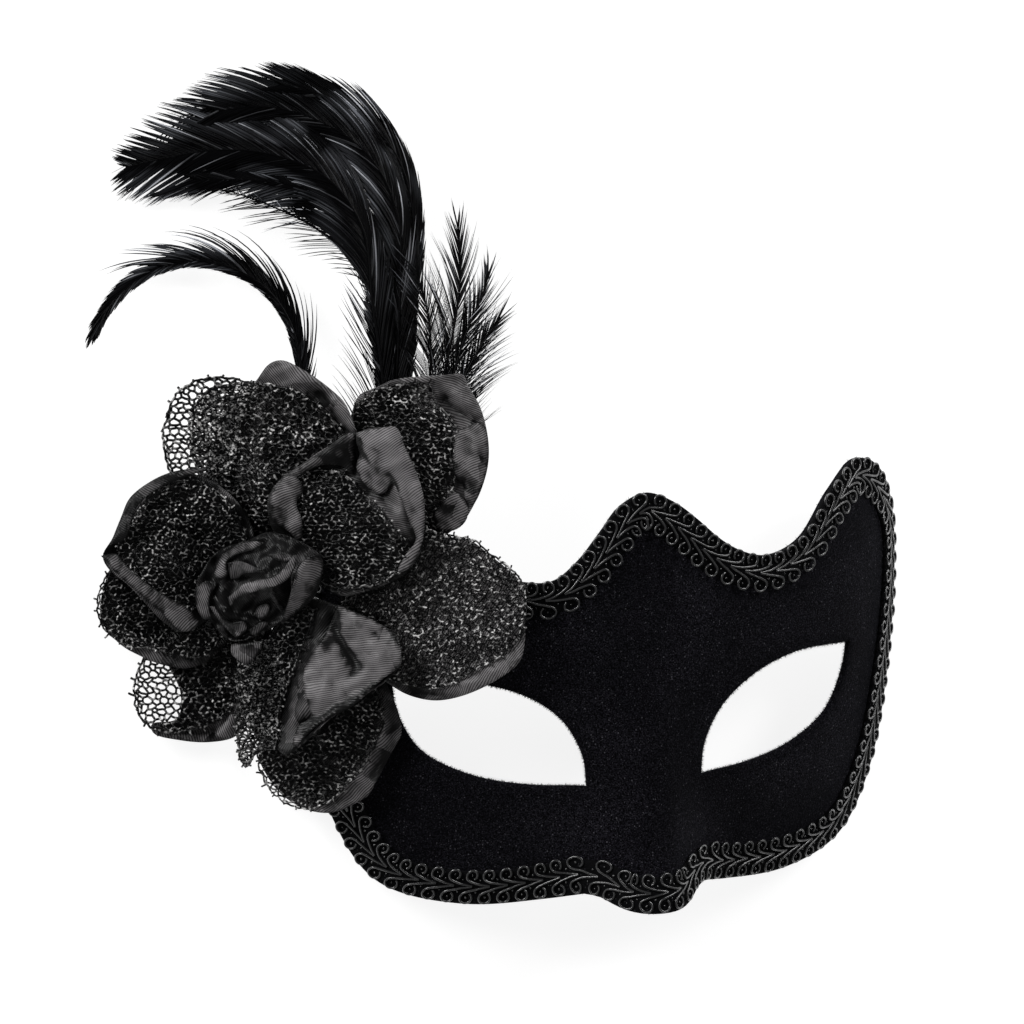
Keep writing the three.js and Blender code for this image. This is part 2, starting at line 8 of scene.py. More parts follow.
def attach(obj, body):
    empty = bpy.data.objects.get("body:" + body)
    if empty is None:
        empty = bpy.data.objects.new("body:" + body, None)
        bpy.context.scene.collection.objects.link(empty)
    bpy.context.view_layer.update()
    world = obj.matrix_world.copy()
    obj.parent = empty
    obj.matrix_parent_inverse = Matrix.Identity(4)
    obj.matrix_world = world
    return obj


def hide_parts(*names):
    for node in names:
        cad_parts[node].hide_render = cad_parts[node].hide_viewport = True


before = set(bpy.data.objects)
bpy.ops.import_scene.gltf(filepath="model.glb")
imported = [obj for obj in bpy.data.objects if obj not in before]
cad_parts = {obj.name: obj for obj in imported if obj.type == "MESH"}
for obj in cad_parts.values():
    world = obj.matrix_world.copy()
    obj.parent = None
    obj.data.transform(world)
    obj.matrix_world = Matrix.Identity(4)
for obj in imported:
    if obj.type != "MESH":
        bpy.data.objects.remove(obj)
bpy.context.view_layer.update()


# Mask shell
# A half-face shell of moulded felt, 1.6 mm thick, with two almond eye holes and a raised nose.
# It is flocked with short black velvet pile, which rolls over the edges and stands up along them.
MM = 0.001
SHELL_THICK = 1.6
WRAP_RADIUS = 156
WRAP_TIGHTEN = 0.45
WRAP_STEP, WRAP_END = 0.5, 120
NOSE_RISE, NOSE_TOP, NOSE_LENGTH, NOSE_SWELL = 21, 24, 75, 1.4
NOSE_BRIDGE_HALF, NOSE_WING_HALF = 9.5, 18
BROW_RADIUS, FACE_MIDDLE = 430, 8
EDGE_ROLL, EDGE_HALF_ARC, EDGE_HALF_HEIGHT = 8, 108, 65
EDGE_ROLL_FROM, EDGE_ROLL_MOST = 0.75, 0.45

# Outline of one half, [arc, height] in mm from between the eyes, as it is cut in the flat
CENTRE_PEAK = [0, 67.8]
BROW_DIP_RIGHT = [[8, 64.6], [15, 59.2], [22, 53], [29, 48.7], [38.5, 46]]
BROW_DIP_LEFT = [[8, 64.6], [14, 57.6], [20.5, 50], [27.5, 44.9], [36, 45]]
TEMPLE_AND_CHEEK = [
    [50, 48.8], [62, 60], [75.5, 66.3], [89, 60.4], [99.5, 46], [100.4, 28],
    [95.2, 0], [87, -25], [73.5, -42.4], [50, -48.3], [27, -46.7],
]
NOSE_NOTCH = [15.8, -43.7]
NOSE_LOBE = [[9, -47], [0, -47.4]]
EYE_UPPER = [[17.5, -13.8], [18.6, -5], [24.4, 5.2], [35.2, 12.7], [50, 16.4], [71.6, 15]]
EYE_LOWER = [[71.6, 15], [70.2, 8], [63.6, -2.8], [50, -9.8], [33, -13.2], [17.5, -13.8]]

# How the mask lies: turned back on its side edges, and where the point between its eyes then is
LIE_ANGLE = math.radians(9.65)
MASK_AT = np.array([30.0915, -70.3816, 31.7312])

EDGE_STEP = 1.2
SURFACE_STEP = 2.0
WALL_STEPS = 6
SPLINE_STEPS = 40
ROW_SHARE, CLEAR_SHARE = 0.87, 0.6


def smooth_line(points, spacing):
    """Centripetal spline through the points, cut at even steps."""
    points = np.array(points, float)
    ends = np.vstack([2 * points[0] - points[1], points, 2 * points[-1] - points[-2]])
    t = np.linspace(0, 1, SPLINE_STEPS, endpoint=False)[:, None]
    pieces = []
    for before, start, end, after in zip(ends, ends[1:], ends[2:], ends[3:]):
        spans = (start - before, end - start, after - end)
        gap_in, gap, gap_out = (max(np.linalg.norm(span), 1e-9) ** 0.5 for span in spans)
        leave = spans[0] / gap_in - (end - before) / (gap_in + gap) + spans[1] / gap
        arrive = spans[1] / gap - (after - start) / (gap + gap_out) + spans[2] / gap_out
        leave, arrive = leave * gap, arrive * gap
        pieces.append(
            (2 * t ** 3 - 3 * t ** 2 + 1) * start + (t ** 3 - 2 * t ** 2 + t) * leave
            + (3 * t ** 2 - 2 * t ** 3) * end + (t ** 3 - t ** 2) * arrive
        )
    line = np.vstack(pieces + [points[-1:]])
    length = np.concatenate([[0], np.cumsum(np.linalg.norm(np.diff(line, axis=0), axis=1))])
    count = max(2, round(length[-1] / spacing))
    stops = np.linspace(0, length[-1], count + 1)
    return np.stack([np.interp(stops, length, line[:, k]) for k in range(line.shape[1])], axis=1)


def mirrored(points):
    return [[-x, y] for x, y in reversed(points)]


def rim_line(spacing):
    """The mask's outline, clockwise from the notch on the flower's side, over the peak and back."""
    half_left = BROW_DIP_LEFT + TEMPLE_AND_CHEEK + [NOSE_NOTCH]
    half_right = BROW_DIP_RIGHT + TEMPLE_AND_CHEEK + [NOSE_NOTCH]
    top = smooth_line(mirrored(half_left) + [CENTRE_PEAK] + half_right, spacing)
    lobe = smooth_line([NOSE_NOTCH] + NOSE_LOBE + mirrored([NOSE_NOTCH, NOSE_LOBE[0]]), spacing)
    return np.vstack([top[:-1], lobe[:-1]])


def eye_line(side, spacing):
    """An eye hole's outline, running against the rim so that the velvet is always on the same hand."""
    around = np.vstack([smooth_line(EYE_UPPER, spacing)[:-1], smooth_line(EYE_LOWER, spacing)[:-1]])
    around = around * [side, 1]
    return around[::-1] if side > 0 else around


def side_step(loop, by):
    """A closed line moved sideways, to its left where by is above 0."""
    along = np.roll(loop, -1, axis=0) - np.roll(loop, 1, axis=0)
    along /= np.linalg.norm(along, axis=1)[:, None]
    return loop + by * np.stack([-along[:, 1], along[:, 0]], axis=1)


WRAP_ARC = np.arange(0, WRAP_END + WRAP_STEP, WRAP_STEP)
wrap_lean = WRAP_ARC[:-1] + WRAP_STEP / 2
wrap_lean = wrap_lean / WRAP_RADIUS * (1 + WRAP_TIGHTEN * (wrap_lean / 100) ** 4)
WRAP_SIDE = np.concatenate([[0], np.cumsum(np.cos(wrap_lean) * WRAP_STEP)])
WRAP_DROP = np.concatenate([[0], np.cumsum(np.sin(wrap_lean) * WRAP_STEP)])


def face_at(arc, height):
    """Points of the face in the mask's own frame, in mm."""
    side = np.interp(abs(arc), WRAP_ARC, WRAP_SIDE)
    out = -np.interp(abs(arc), WRAP_ARC, WRAP_DROP)
    down = np.clip((NOSE_TOP - height) / NOSE_LENGTH, 0, 1)
    half = NOSE_BRIDGE_HALF + (NOSE_WING_HALF - NOSE_BRIDGE_HALF) * down
    out += NOSE_RISE * down ** NOSE_SWELL * np.exp(-((arc / half) ** 2))
    outward = (arc / EDGE_HALF_ARC) ** 2 + ((height - FACE_MIDDLE) / EDGE_HALF_HEIGHT) ** 2
    out -= EDGE_ROLL * np.clip(outward - EDGE_ROLL_FROM, 0, EDGE_ROLL_MOST) ** 2
    out -= (height - FACE_MIDDLE) ** 2 / (2 * BROW_RADIUS)
    return np.stack([np.sign(arc) * side, height, out], axis=-1)


def face_out(arc, height):
    """Unit vectors straight out of the face."""
    across = face_at(arc + 0.5, height) - face_at(arc - 0.5, height)
    up = face_at(arc, height + 0.5) - face_at(arc, height - 0.5)
    out = np.cross(across, up)
    return out / np.linalg.norm(out, axis=-1)[..., None]


def turned(vectors):
    """Directions of the mask's own frame as the mask lies."""
    x, y, z = np.moveaxis(np.asarray(vectors, float), -1, 0)
    cos, sin = math.cos(LIE_ANGLE), math.sin(LIE_ANGLE)
    return np.stack([x, y * cos - z * sin, y * sin + z * cos], axis=-1)


def laid_down(points, floor=0.0):
    """Points of the mask's own frame as the mask lies, in metres, worn flat where they meet the table."""
    lying = (turned(points) + MASK_AT) * MM
    lying[..., 2] = np.maximum(lying[..., 2], floor)
    return lying


def off_face(flat, lift):
    """Flat points, each [arc, height], a given lift off the face, as the mask lies, in metres."""
    arc, height = flat.T
    lift = np.broadcast_to(lift, arc.shape)
    return laid_down(face_at(arc, height) + face_out(arc, height) * lift[:, None])


def inside(points, loop):
    """Which flat points lie inside a closed line."""
    x, y = points[:, 0, None], points[:, 1, None]
    a, b = loop, np.roll(loop, -1, axis=0)
    spans = (a[:, 1] > y) != (b[:, 1] > y)
    rise = np.where(a[:, 1] == b[:, 1], 1e-9, b[:, 1] - a[:, 1])
    return (spans & (x < (b[:, 0] - a[:, 0]) * (y - a[:, 1]) / rise + a[:, 0])).sum(axis=1) % 2 == 1


def nearest_gap(points, loop):
    """Distance from flat points to the points of a line."""
    return np.sqrt(((points[:, None] - loop[None]) ** 2).sum(axis=2)).min(axis=1)


def filled(loops, spacing, shake=0.0, seed=1):
    """Triangles between the first loop and the others, with points inside at the given spacing."""
    outer, holes = loops[0], loops[1:]
    low, high = outer.min(axis=0), outer.max(axis=0)
    columns = np.arange(low[0], high[0], spacing)
    rows = np.arange(low[1], high[1], spacing * ROW_SHARE)
    grid = np.array([[x + (i % 2) * spacing / 2, y] for i, y in enumerate(rows) for x in columns])
    grid += np.random.default_rng(seed).uniform(-shake, shake, grid.shape) * spacing

    def between(points):
        return inside(points, outer) & ~np.any([inside(points, hole) for hole in holes], axis=0)

    grid = grid[between(grid) & (nearest_gap(grid, np.vstack(loops)) > spacing * CLEAR_SHARE)]
    edges, start = [], 0
    for loop in loops:
        edges += [(start + k, start + (k + 1) % len(loop)) for k in range(len(loop))]
        start += len(loop)
    made = geometry.delaunay_2d_cdt([Vector(p) for p in np.vstack(loops + [grid])], edges, [], 0, 1e-6)
    points, faces = np.array([tuple(p) for p in made[0]]), np.array(made[2])
    return points, faces[between(points[faces].mean(axis=1))]


def new_object(name, data):
    made = bpy.data.objects.new(name, data)
    bpy.context.scene.collection.objects.link(made)
    return made


def new_piece(name, points, faces, edges=()):
    """A smooth-shaded mesh object from points in metres."""
    mesh = bpy.data.meshes.new(name)
    mesh.from_pydata([tuple(p) for p in points], [tuple(e) for e in edges], [tuple(f) for f in faces])
    mesh.validate()
    if len(mesh.polygons):
        mesh.shade_smooth()
    return new_object(name, mesh)


def set_value(mesh, name, values):
    """A number attribute on a mesh's points."""
    mesh.attributes.new(name, "FLOAT", "POINT").data.foreach_set("value", np.asarray(values, float))


def faces_out(piece):
    """Merges what coincides and turns every face outwards."""
    shape = bmesh.new()
    shape.from_mesh(piece.data)
    bmesh.ops.remove_doubles(shape, verts=shape.verts, dist=1e-7)
    bmesh.ops.recalc_face_normals(shape, faces=shape.faces)
    shape.to_mesh(piece.data)
    shape.free()
    return piece


def fit(piece, slot, *nodes):
    """Fixes a finished piece on the mask, in place of its construction nodes."""
    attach(piece, "root")
    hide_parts(*nodes)
    return piece


class Field:
    """A value in a node tree. Reckoning with it adds the math nodes, for numbers and for vectors."""

    def __init__(self, tree, socket):
        self.tree = tree
        self.socket = socket

    def also(self, output):
        """Another output of the same node."""
        return Field(self.tree, self.socket.node.outputs[output])

    def is_vector(self):
        return self.socket.type in ("VECTOR", "RGBA")

    def then(self, operation, *others):
        """What a math node makes of this value and others."""
        kind = "ShaderNodeVectorMath" if self.is_vector() else "ShaderNodeMath"
        keys = (0, 3) if operation == "SCALE" else range(3)
        return add_node(self.tree, kind, dict(zip(keys, (self, *others))), operation=operation)

    def times_plus(self, factor, offset):
        return self.then("MULTIPLY_ADD", factor, offset)

    def __add__(self, other):
        return self.then("ADD", other)

    def __sub__(self, other):
        return self.then("SUBTRACT", other)

    def __mul__(self, other):
        return self.then("SCALE" if self.is_vector() else "MULTIPLY", other)

    def __truediv__(self, other):
        return self.then("DIVIDE", other)


def add_node(tree, kind, inputs=None, output=0, **settings):
    """Adds a node with its settings, and its inputs set or linked; returns one of its outputs."""
    node = tree.nodes.new(kind)
    for name, value in settings.items():
        setattr(node, name, value)
    for key, value in (inputs or {}).items():
        if isinstance(value, Field):
            tree.links.new(value.socket, node.inputs[key])
        else:
            node.inputs[key].default_value = value
    return Field(tree, node.outputs[output])


def named(tree, name, kind="FLOAT"):
    return add_node(tree, "GeometryNodeInputNamedAttribute", {"Name": name}, data_type=kind)


def random_share(tree, seed, low=0.0, high=1.0):
    return add_node(tree, "FunctionNodeRandomValue", {2: low, 3: high, "Seed": seed}, output=1)


def new_tree(name, sizes):
    """A geometry tree with named inputs for its sizes; returns it with its inputs."""
    tree = bpy.data.node_groups.new(name, "GeometryNodeTree")
    tree.interface.new_socket("Geometry", in_out="INPUT", socket_type="NodeSocketGeometry")
    for label, value in sizes.items():
        kind = {int: "NodeSocketInt", float: "NodeSocketFloat"}.get(type(value), "NodeSocketObject")
        socket = tree.interface.new_socket(label, in_out="INPUT", socket_type=kind)
        socket.default_value = value
    tree.interface.new_socket("Geometry", in_out="OUTPUT", socket_type="NodeSocketGeometry")
    given = tree.nodes.new("NodeGroupInput").outputs
    return tree, {socket.name: Field(tree, socket) for socket in given}


def close_tree(tree, material, *shapes):
    """Ends a geometry tree: its shapes joined, real, smooth, in their material."""
    both = tree.nodes.new("GeometryNodeJoinGeometry")
    for shape in shapes:
        tree.links.new(shape.socket, both.inputs[0])
    real = add_node(tree, "GeometryNodeRealizeInstances", {"Geometry": Field(tree, both.outputs[0])})
    smooth = add_node(tree, "GeometryNodeSetShadeSmooth", {"Geometry": real})
    finished = add_node(tree, "GeometryNodeSetMaterial", {"Geometry": smooth, "Material": material})
    tree.links.new(finished.socket, tree.nodes.new("NodeGroupOutput").inputs[0])
    return tree


def grown(source, tree, name, **sizes):
    """Runs a geometry tree on a source object and keeps the result as a plain mesh, on the table or above."""
    modifier = source.modifiers.new(tree.name, "NODES")
    modifier.node_group = tree
    for item in tree.interface.items_tree:
        if item.in_out == "INPUT" and item.name in sizes:
            modifier[item.identifier] = sizes[item.name]
    view = bpy.context.evaluated_depsgraph_get()
    final = source.evaluated_get(view)
    mesh = bpy.data.meshes.new_from_object(final, preserve_all_data_layers=True, depsgraph=view)
    source.modifiers.remove(modifier)
    mesh.name = name
    for vertex in mesh.vertices:
        vertex.co.z = max(vertex.co.z, 0)
    bpy.data.objects.remove(source)
    return new_object(name, mesh)


def new_material(name, **plain):
    """A material with its Principled shader's plain values set; returns it, its tree and the shader."""
    material = bpy.data.materials.new(name)
    material.use_nodes = True
    shader = material.node_tree.nodes["Principled BSDF"]
    for key, value in plain.items():
        shader.inputs[key.replace("_", " ")].default_value = value
    return material, material.node_tree, shader


def mix_colour(tree, factor, first, second):
    """Colour between two by a factor."""
    return add_node(tree, "ShaderNodeMix", {0: factor, 6: first, 7: second}, output=2, data_type="RGBA")


def object_place(tree):
    return add_node(tree, "ShaderNodeTexCoord", output="Object")


def noise(tree, place, scale, detail):
    return add_node(tree, "ShaderNodeTexNoise", {"Vector": place, "Scale": scale, "Detail": detail})


def spread(tree, value, low, high, to_low=0.0, to_high=1.0):
    """A value between low and high, stretched between two others and cut off there."""
    return add_node(tree, "ShaderNodeMapRange", {0: value, 1: low, 2: high, 3: to_low, 4: to_high})


def add_relief(tree, shader, height, strength, distance):
    bump = add_node(tree, "ShaderNodeBump", {"Height": height, "Strength": strength, "Distance": distance})
    tree.links.new(bump.socket, shader.inputs["Normal"])


def speck_group():
    """Small bright flecks with a soft mottle under them: lint and fibre ends on the velvet and ground,
    painted glints on the net.
    """
    group = bpy.data.node_groups.new("lint_and_glint_flecks", "ShaderNodeTree")
    for label, value in (("Size mm", 1.0), ("Share", 0.1)):
        socket = group.interface.new_socket(label, in_out="INPUT", socket_type="NodeSocketFloat")
        socket.default_value = value
    for label in ("Flecks", "Mottle"):
        group.interface.new_socket(label, in_out="OUTPUT", socket_type="NodeSocketFloat")
    size, share = (Field(group, socket) for socket in group.nodes.new("NodeGroupInput").outputs[:2])
    place = object_place(group)
    scale = add_node(group, "ShaderNodeMath", {0: 1 / MM, 1: size}, operation="DIVIDE")
    cells = add_node(group, "ShaderNodeTexVoronoi", {"Vector": place, "Scale": scale, "Randomness": 1.0})
    chosen = add_node(group, "ShaderNodeSeparateColor", {"Color": cells.also("Color")})
    near = spread(group, cells, 0.12, 0.42, 1.0, 0.0)
    flecks = chosen.then("LESS_THAN", share) * near
    out = group.nodes.new("NodeGroupOutput")
    group.links.new(flecks.socket, out.inputs["Flecks"])
    group.links.new(noise(group, place, scale, 3.0).socket, out.inputs["Mottle"])
    return group


FLECKS = speck_group()


def flecks_of(tree, size_mm, share):
    """Flecks of a size on a share of the surface; its other output is their mottle."""
    return add_node(tree, "ShaderNodeGroup", {"Size mm": size_mm, "Share": share}, "Flecks", node_tree=FLECKS)


def velvet_material():
    velvet, tree, shader = new_material(
        "black_velvet", Roughness=0.95, Specular_IOR_Level=0.04,
        Sheen_Weight=0.05, Sheen_Roughness=0.45, Sheen_Tint=(0.75, 0.78, 0.9, 1),
    )
    fine = flecks_of(tree, 0.42, 0.3)
    coarse = flecks_of(tree, 0.6, 0.05)
    worn = spread(tree, noise(tree, object_place(tree), 38.0, 3.0), 0.38, 0.68, 0.6, 1.35)
    grain = spread(tree, fine.also("Mottle"), 0.42, 0.72)
    colour = mix_colour(tree, grain * worn, (0.0006, 0.0006, 0.001, 1), (0.019, 0.018, 0.024, 1))
    colour = mix_colour(tree, fine * worn, colour, (0.052, 0.051, 0.06, 1))
    colour = mix_colour(tree, coarse * worn, colour, (0.1, 0.098, 0.112, 1))
    tree.links.new(colour.socket, shader.inputs["Base Color"])
    add_relief(tree, shader, fine.also("Mottle"), 0.7, 0.4 * MM)
    return velvet


VELVET = velvet_material()


def shell_piece():
    """Outer skin, inner skin, and a half-round wall along the rim and both eye holes."""
    half = SHELL_THICK / 2
    loops = [rim_line(EDGE_STEP)] + [eye_line(side, EDGE_STEP) for side in (-1, 1)]
    loops = [side_step(loop, -half) for loop in loops]
    flat, faces = filled(loops, SURFACE_STEP)
    points = [off_face(flat, 0), off_face(flat, -SHELL_THICK)]
    shell_faces = [tuple(face) for face in faces] + [tuple(face[::-1] + len(flat)) for face in faces]
    start = 2 * len(flat)
    for loop in loops:
        for k in range(WALL_STEPS + 1):
            angle = math.pi / 2 - math.pi * k / WALL_STEPS
            ring = side_step(loop, half * math.cos(angle))
            points.append(off_face(ring, half * (math.sin(angle) - 1)))
        n = len(loop)
        for k in range(WALL_STEPS):
            here, there = start + k * n, start + (k + 1) * n
            for i in range(n):
                j = (i + 1) % n
                shell_faces.append((here + i, here + j, there + j, there + i))
        start += n * (WALL_STEPS + 1)
    piece = new_piece("velvet_shell", np.vstack(points), shell_faces)
    piece.data.materials.append(VELVET)
    return faces_out(piece)


# How wide the thick pile is along the eye holes, in mm, and how thick the pile is elsewhere
FUZZ_WIDTH, FUZZ_ELSEWHERE = 1.4, 0.03


def flock_tree(material):
    """Short stiff fibres standing on a surface, as thick as its point attribute says."""
    tree, given = new_tree("flock", {
        "Fibres per square metre": 9e6, "Length": 0.75 * MM, "Root": 0.07 * MM, "Seed": 2,
    })
    spots = add_node(tree, "GeometryNodeDistributePointsOnFaces", {
        "Mesh": given["Geometry"], "Density": named(tree, "fuzz") * given["Fibres per square metre"],
        "Seed": given["Seed"],
    })
    fibre = add_node(tree, "GeometryNodeMeshCone", {
        "Vertices": 3, "Radius Top": 0.0, "Radius Bottom": given["Root"], "Depth": given["Length"],
    })
    lean = add_node(tree, "FunctionNodeRandomValue", {
        0: (-0.7, -0.7, 0.0), 1: (0.7, 0.7, 6.28), "Seed": given["Seed"],
    }, data_type="FLOAT_VECTOR")
    stand = add_node(tree, "FunctionNodeRotateRotation", {
        "Rotation": spots.also("Rotation"), "Rotate By": lean,
    }, rotation_space="LOCAL")
    fibres = add_node(tree, "GeometryNodeInstanceOnPoints", {
        "Points": spots, "Instance": fibre, "Rotation": stand,
        "Scale": random_share(tree, given["Seed"], 0.5, 1.2),
    })
    return close_tree(tree, material, fibres)


def flock_piece(shell):
    """Pile that stands up along the eye holes' edges, and thinly everywhere else."""
    source = new_object("flock_source", shell.data.copy())
    places = np.array([vertex.co for vertex in source.data.vertices])
    edge = np.vstack([eye_line(side, EDGE_STEP) for side in (-1, 1)])
    gap = nearest_gap(places, off_face(edge, -SHELL_THICK / 2))
    set_value(source.data, "fuzz", np.exp(-((gap / (FUZZ_WIDTH * MM)) ** 2)) + FUZZ_ELSEWHERE)
    return grown(source, flock_tree(VELVET), "velvet_pile")


shell = fit(shell_piece(), "velvet", "mask_shell")
fit(flock_piece(shell), "velvet", "mask_shell")


# Camera, floor and light
# The mask lies on a plain pale table and is looked down on, a little from its flower side.
CAMERA_TURN, CAMERA_LIFT, CAMERA_ROLL = math.radians(22), math.radians(16), math.radians(1.3)
CAMERA_AIM = [-36.95, 60.98]
CAMERA_AWAY = 1620
CAMERA_LENS = 206.2
TABLE_HALF = 4
TABLE_GLOW, ROOM_GLOW = 0.86, 0.16

view_out = np.array([
    -math.sin(CAMERA_TURN) * math.cos(CAMERA_LIFT), math.sin(CAMERA_LIFT),
    math.cos(CAMERA_TURN) * math.cos(CAMERA_LIFT),
])
level = np.cross([0, 1, 0], view_out)
level /= np.linalg.norm(level)
upright = np.cross(view_out, level)
view_right = level * math.cos(CAMERA_ROLL) + upright * math.sin(CAMERA_ROLL)
view_up = upright * math.cos(CAMERA_ROLL) - level * math.sin(CAMERA_ROLL)


def photo_camera():
    lens = bpy.data.cameras.new("camera")
    lens.lens = CAMERA_LENS
    lens.clip_start, lens.clip_end = 0.1, 20
    camera = new_object("camera", lens)
    eye = CAMERA_AIM[0] * view_right + CAMERA_AIM[1] * view_up + CAMERA_AWAY * view_out
    facing = np.stack([turned(view_right), turned(view_up), turned(view_out)], axis=1)
    camera.matrix_world = Matrix.Translation(laid_down(eye)) @ Matrix(facing.tolist()).to_4x4()
    bpy.context.scene.camera = camera


photo_camera()


def soft_light(name, place, size, power):
    """A large plain softbox that faces the mask."""
    lamp = bpy.data.lights.new(name, "AREA")
    lamp.shape, lamp.size, lamp.energy = "SQUARE", size, power
    light = new_object(name, lamp)
    light.location = place
    light.rotation_euler = (-Vector(place)).to_track_quat("-Z", "Y").to_euler()


def studio():
    """Pale table, white surroundings and softboxes."""
    corners = [(x * TABLE_HALF, y * TABLE_HALF, 0) for x, y in ((-1, -1), (1, -1), (1, 1), (-1, 1))]
    table = new_piece("table", corners, [(0, 1, 2, 3)])
    white, _, _ = new_material(
        "table_white", Base_Color=(0.4, 0.4, 0.4, 1), Roughness=0.9,
        Emission_Color=(1, 1, 1, 1), Emission_Strength=TABLE_GLOW,
    )
    table.data.materials.append(white)
    world = bpy.data.worlds.new("surroundings")
    world.use_nodes = True
    sky = world.node_tree.nodes["Background"].inputs
    sky["Color"].default_value = (1, 1, 1, 1)
    sky["Strength"].default_value = ROOM_GLOW
    bpy.context.scene.world = world
    bpy.context.scene.view_settings.view_transform = "Standard"
    soft_light("softbox_left", (-1.5, 1.1, 0.8), 0.8, 26)
    soft_light("softbox_right", (1.1, 0.9, 0.9), 0.6, 12)


studio()


# Gimp braid
# A 12 mm scroll gimp: shiny rayon cord couched in curls to both sides, like a vine, on a woven ground.
# It is glued along the whole edge, curls pointing clockwise, and crowds where it turns at the peak.
BRAID_WIDTH = 12
BRAID_STEP = 1.5
BRAID_OVER, BRAID_OVER_TOP, BRAID_OVER_LEFT = 0.8, 1.8, 1.2
BRAID_LIFT = 0.25
BRAID_SPARE, BRAID_NARROWEST = 0.93, 3
GROUND_THICK, GROUND_SINK = 0.55, 0.6
GROUND_SHARE = 0.7
CORD_RADIUS = 0.34
CORD_TWIST = 0.36
CURL_RADIUS = 1.75
CURL_REACH = (5.6, 4.5)
CURL_SPREAD = 3.45
CURL_PITCH = 5.1
CURL_TURN = math.radians(300)
CURL_JOIN = math.radians(-62)
CURL_SHRINK = 0.82
STEM_START, STEM_PULL = [-0.8, 0.1], 2.2
STEM_STEPS, CURL_STEPS = 12, 22
CORD_LIFTS = (0.1, 0.55, 0.15)
BETWEEN_KNOT_IN, KNOT_DROP = 1.6, 0.2


def evened(values, reach):
    """Moving average round a closed row."""
    return sum(np.roll(values, k, axis=0) for k in range(-reach, reach + 1)) / (2 * reach + 1)


def braid_route():
    """Middle line of the braid in the flat, its inward direction, its width and the rim's distance."""
    rim = rim_line(BRAID_STEP)
    inward = rim - side_step(rim, 1)
    width = np.full(len(rim), float(BRAID_WIDTH))
    for wide in np.arange(BRAID_WIDTH, BRAID_NARROWEST, -0.5):
        close = nearest_gap(rim + inward * wide, rim) < BRAID_SPARE * wide
        width[(width == wide) & close] = wide - 0.5
    width = evened(width, 3)
    over = BRAID_OVER + BRAID_OVER_TOP * np.clip(-inward[:, 1], 0, 1) + BRAID_OVER_LEFT * inward[:, 0]
    edge = evened((width - over) / 2, 2)
    middle = evened(rim + inward * edge[:, None], 1)
    return middle, middle - side_step(middle, 1), width, edge


def on_circle(turn, radius):
    return np.stack([radius * np.cos(turn), radius * np.sin(turn)], axis=-1)


def scroll_line(side):
    """One curl: a stem leaving the middle line, then most of a circle turned back over it."""
    reach = CURL_REACH[0] if side > 0 else CURL_REACH[1]
    centre = np.array([reach, CURL_SPREAD])
    end = centre + on_circle(CURL_JOIN, CURL_RADIUS)
    pull = end - on_circle(CURL_JOIN + math.pi / 2, STEM_PULL)
    t = np.linspace(0, 1, STEM_STEPS, endpoint=False)[:, None]
    stem = (1 - t) ** 2 * np.array(STEM_START) + 2 * t * (1 - t) * pull + t ** 2 * end
    turn = CURL_JOIN + CURL_TURN * np.linspace(0, 1, CURL_STEPS)
    circle = centre + CURL_RADIUS * on_circle(turn, np.linspace(1, CURL_SHRINK, CURL_STEPS))
    low, high, end_lift = CORD_LIFTS
    lift = np.concatenate([np.linspace(low, high, STEM_STEPS), np.linspace(high, end_lift, CURL_STEPS)])
    flat = np.vstack([stem, circle])
    return np.column_stack([flat * [1, side], lift]), np.array([*centre * [1, side], low])


def set_vectors(mesh, name, values):
    """A vector attribute on a mesh's points."""
    vectors = mesh.attributes.new(name, "FLOAT_VECTOR", "POINT").data
    vectors.foreach_set("vector", np.asarray(values, float).ravel())


def scroll_source():
    """Both curls of one repeat as lines, with loose points for the knots inside and between them."""
    points, edges = [], []
    for side in (1, -1):
        line, knot = scroll_line(side)
        edges += [(len(points) + k, len(points) + k + 1) for k in range(len(line) - 1)]
        points += list(line) + [knot, knot + [CURL_PITCH / 2, -side * BETWEEN_KNOT_IN, -KNOT_DROP]]
    scroll = new_piece("scroll", np.array(points) * MM, [], edges)
    set_vectors(scroll.data, "curl", np.array(points) * MM)
    return scroll


def attribute(tree, name, output="Fac"):
    """A mesh attribute, read in a material."""
    return add_node(tree, "ShaderNodeAttribute", output=output, attribute_name=name)


def cord_material():
    rayon, tree, shader = new_material(
        "rayon_cord", Base_Color=(0.013, 0.013, 0.014, 1), Roughness=0.24, Specular_IOR_Level=1.0,
        Coat_Weight=0.5, Coat_Roughness=0.12,
    )
    turns = attribute(tree, "cord_run") * (2 * math.pi / (CORD_TWIST * MM))
    add_relief(tree, shader, turns.then("SINE"), 0.15, 0.06 * MM)
    return rayon


def ground_material():
    ground, tree, shader = new_material("braid_ground", Roughness=0.9, Specular_IOR_Level=0.08)
    lint = flecks_of(tree, 0.5, 0.12)
    colour = mix_colour(tree, lint.also("Mottle"), (0.0008, 0.0008, 0.001, 1), (0.005, 0.005, 0.006, 1))
    colour = mix_colour(tree, lint, colour, (0.04, 0.04, 0.045, 1))
    tree.links.new(colour.socket, shader.inputs["Base Color"])
    add_relief(tree, shader, lint.also("Mottle"), 1.0, 0.3 * MM)
    return ground


def even_stops(tree, lines, spacing):
    return add_node(tree, "GeometryNodeResampleCurve", {"Curve": lines, "Length": spacing}, mode="LENGTH")


def circle_of(tree, sides, radius):
    return add_node(tree, "GeometryNodeCurvePrimitiveCircle", {"Resolution": sides, "Radius": radius})


def tubes(tree, lines, section, scale=1.0):
    """Closed tubes of a section along lines."""
    return add_node(tree, "GeometryNodeCurveToMesh", {
        "Curve": lines, "Profile Curve": section, "Scale": scale, "Fill Caps": True,
    })


def stored(tree, shape, name, value, kind="FLOAT", domain="POINT"):
    return add_node(tree, "GeometryNodeStoreNamedAttribute", {
        "Geometry": shape, "Name": name, "Value": value,
    }, data_type=kind, domain=domain)


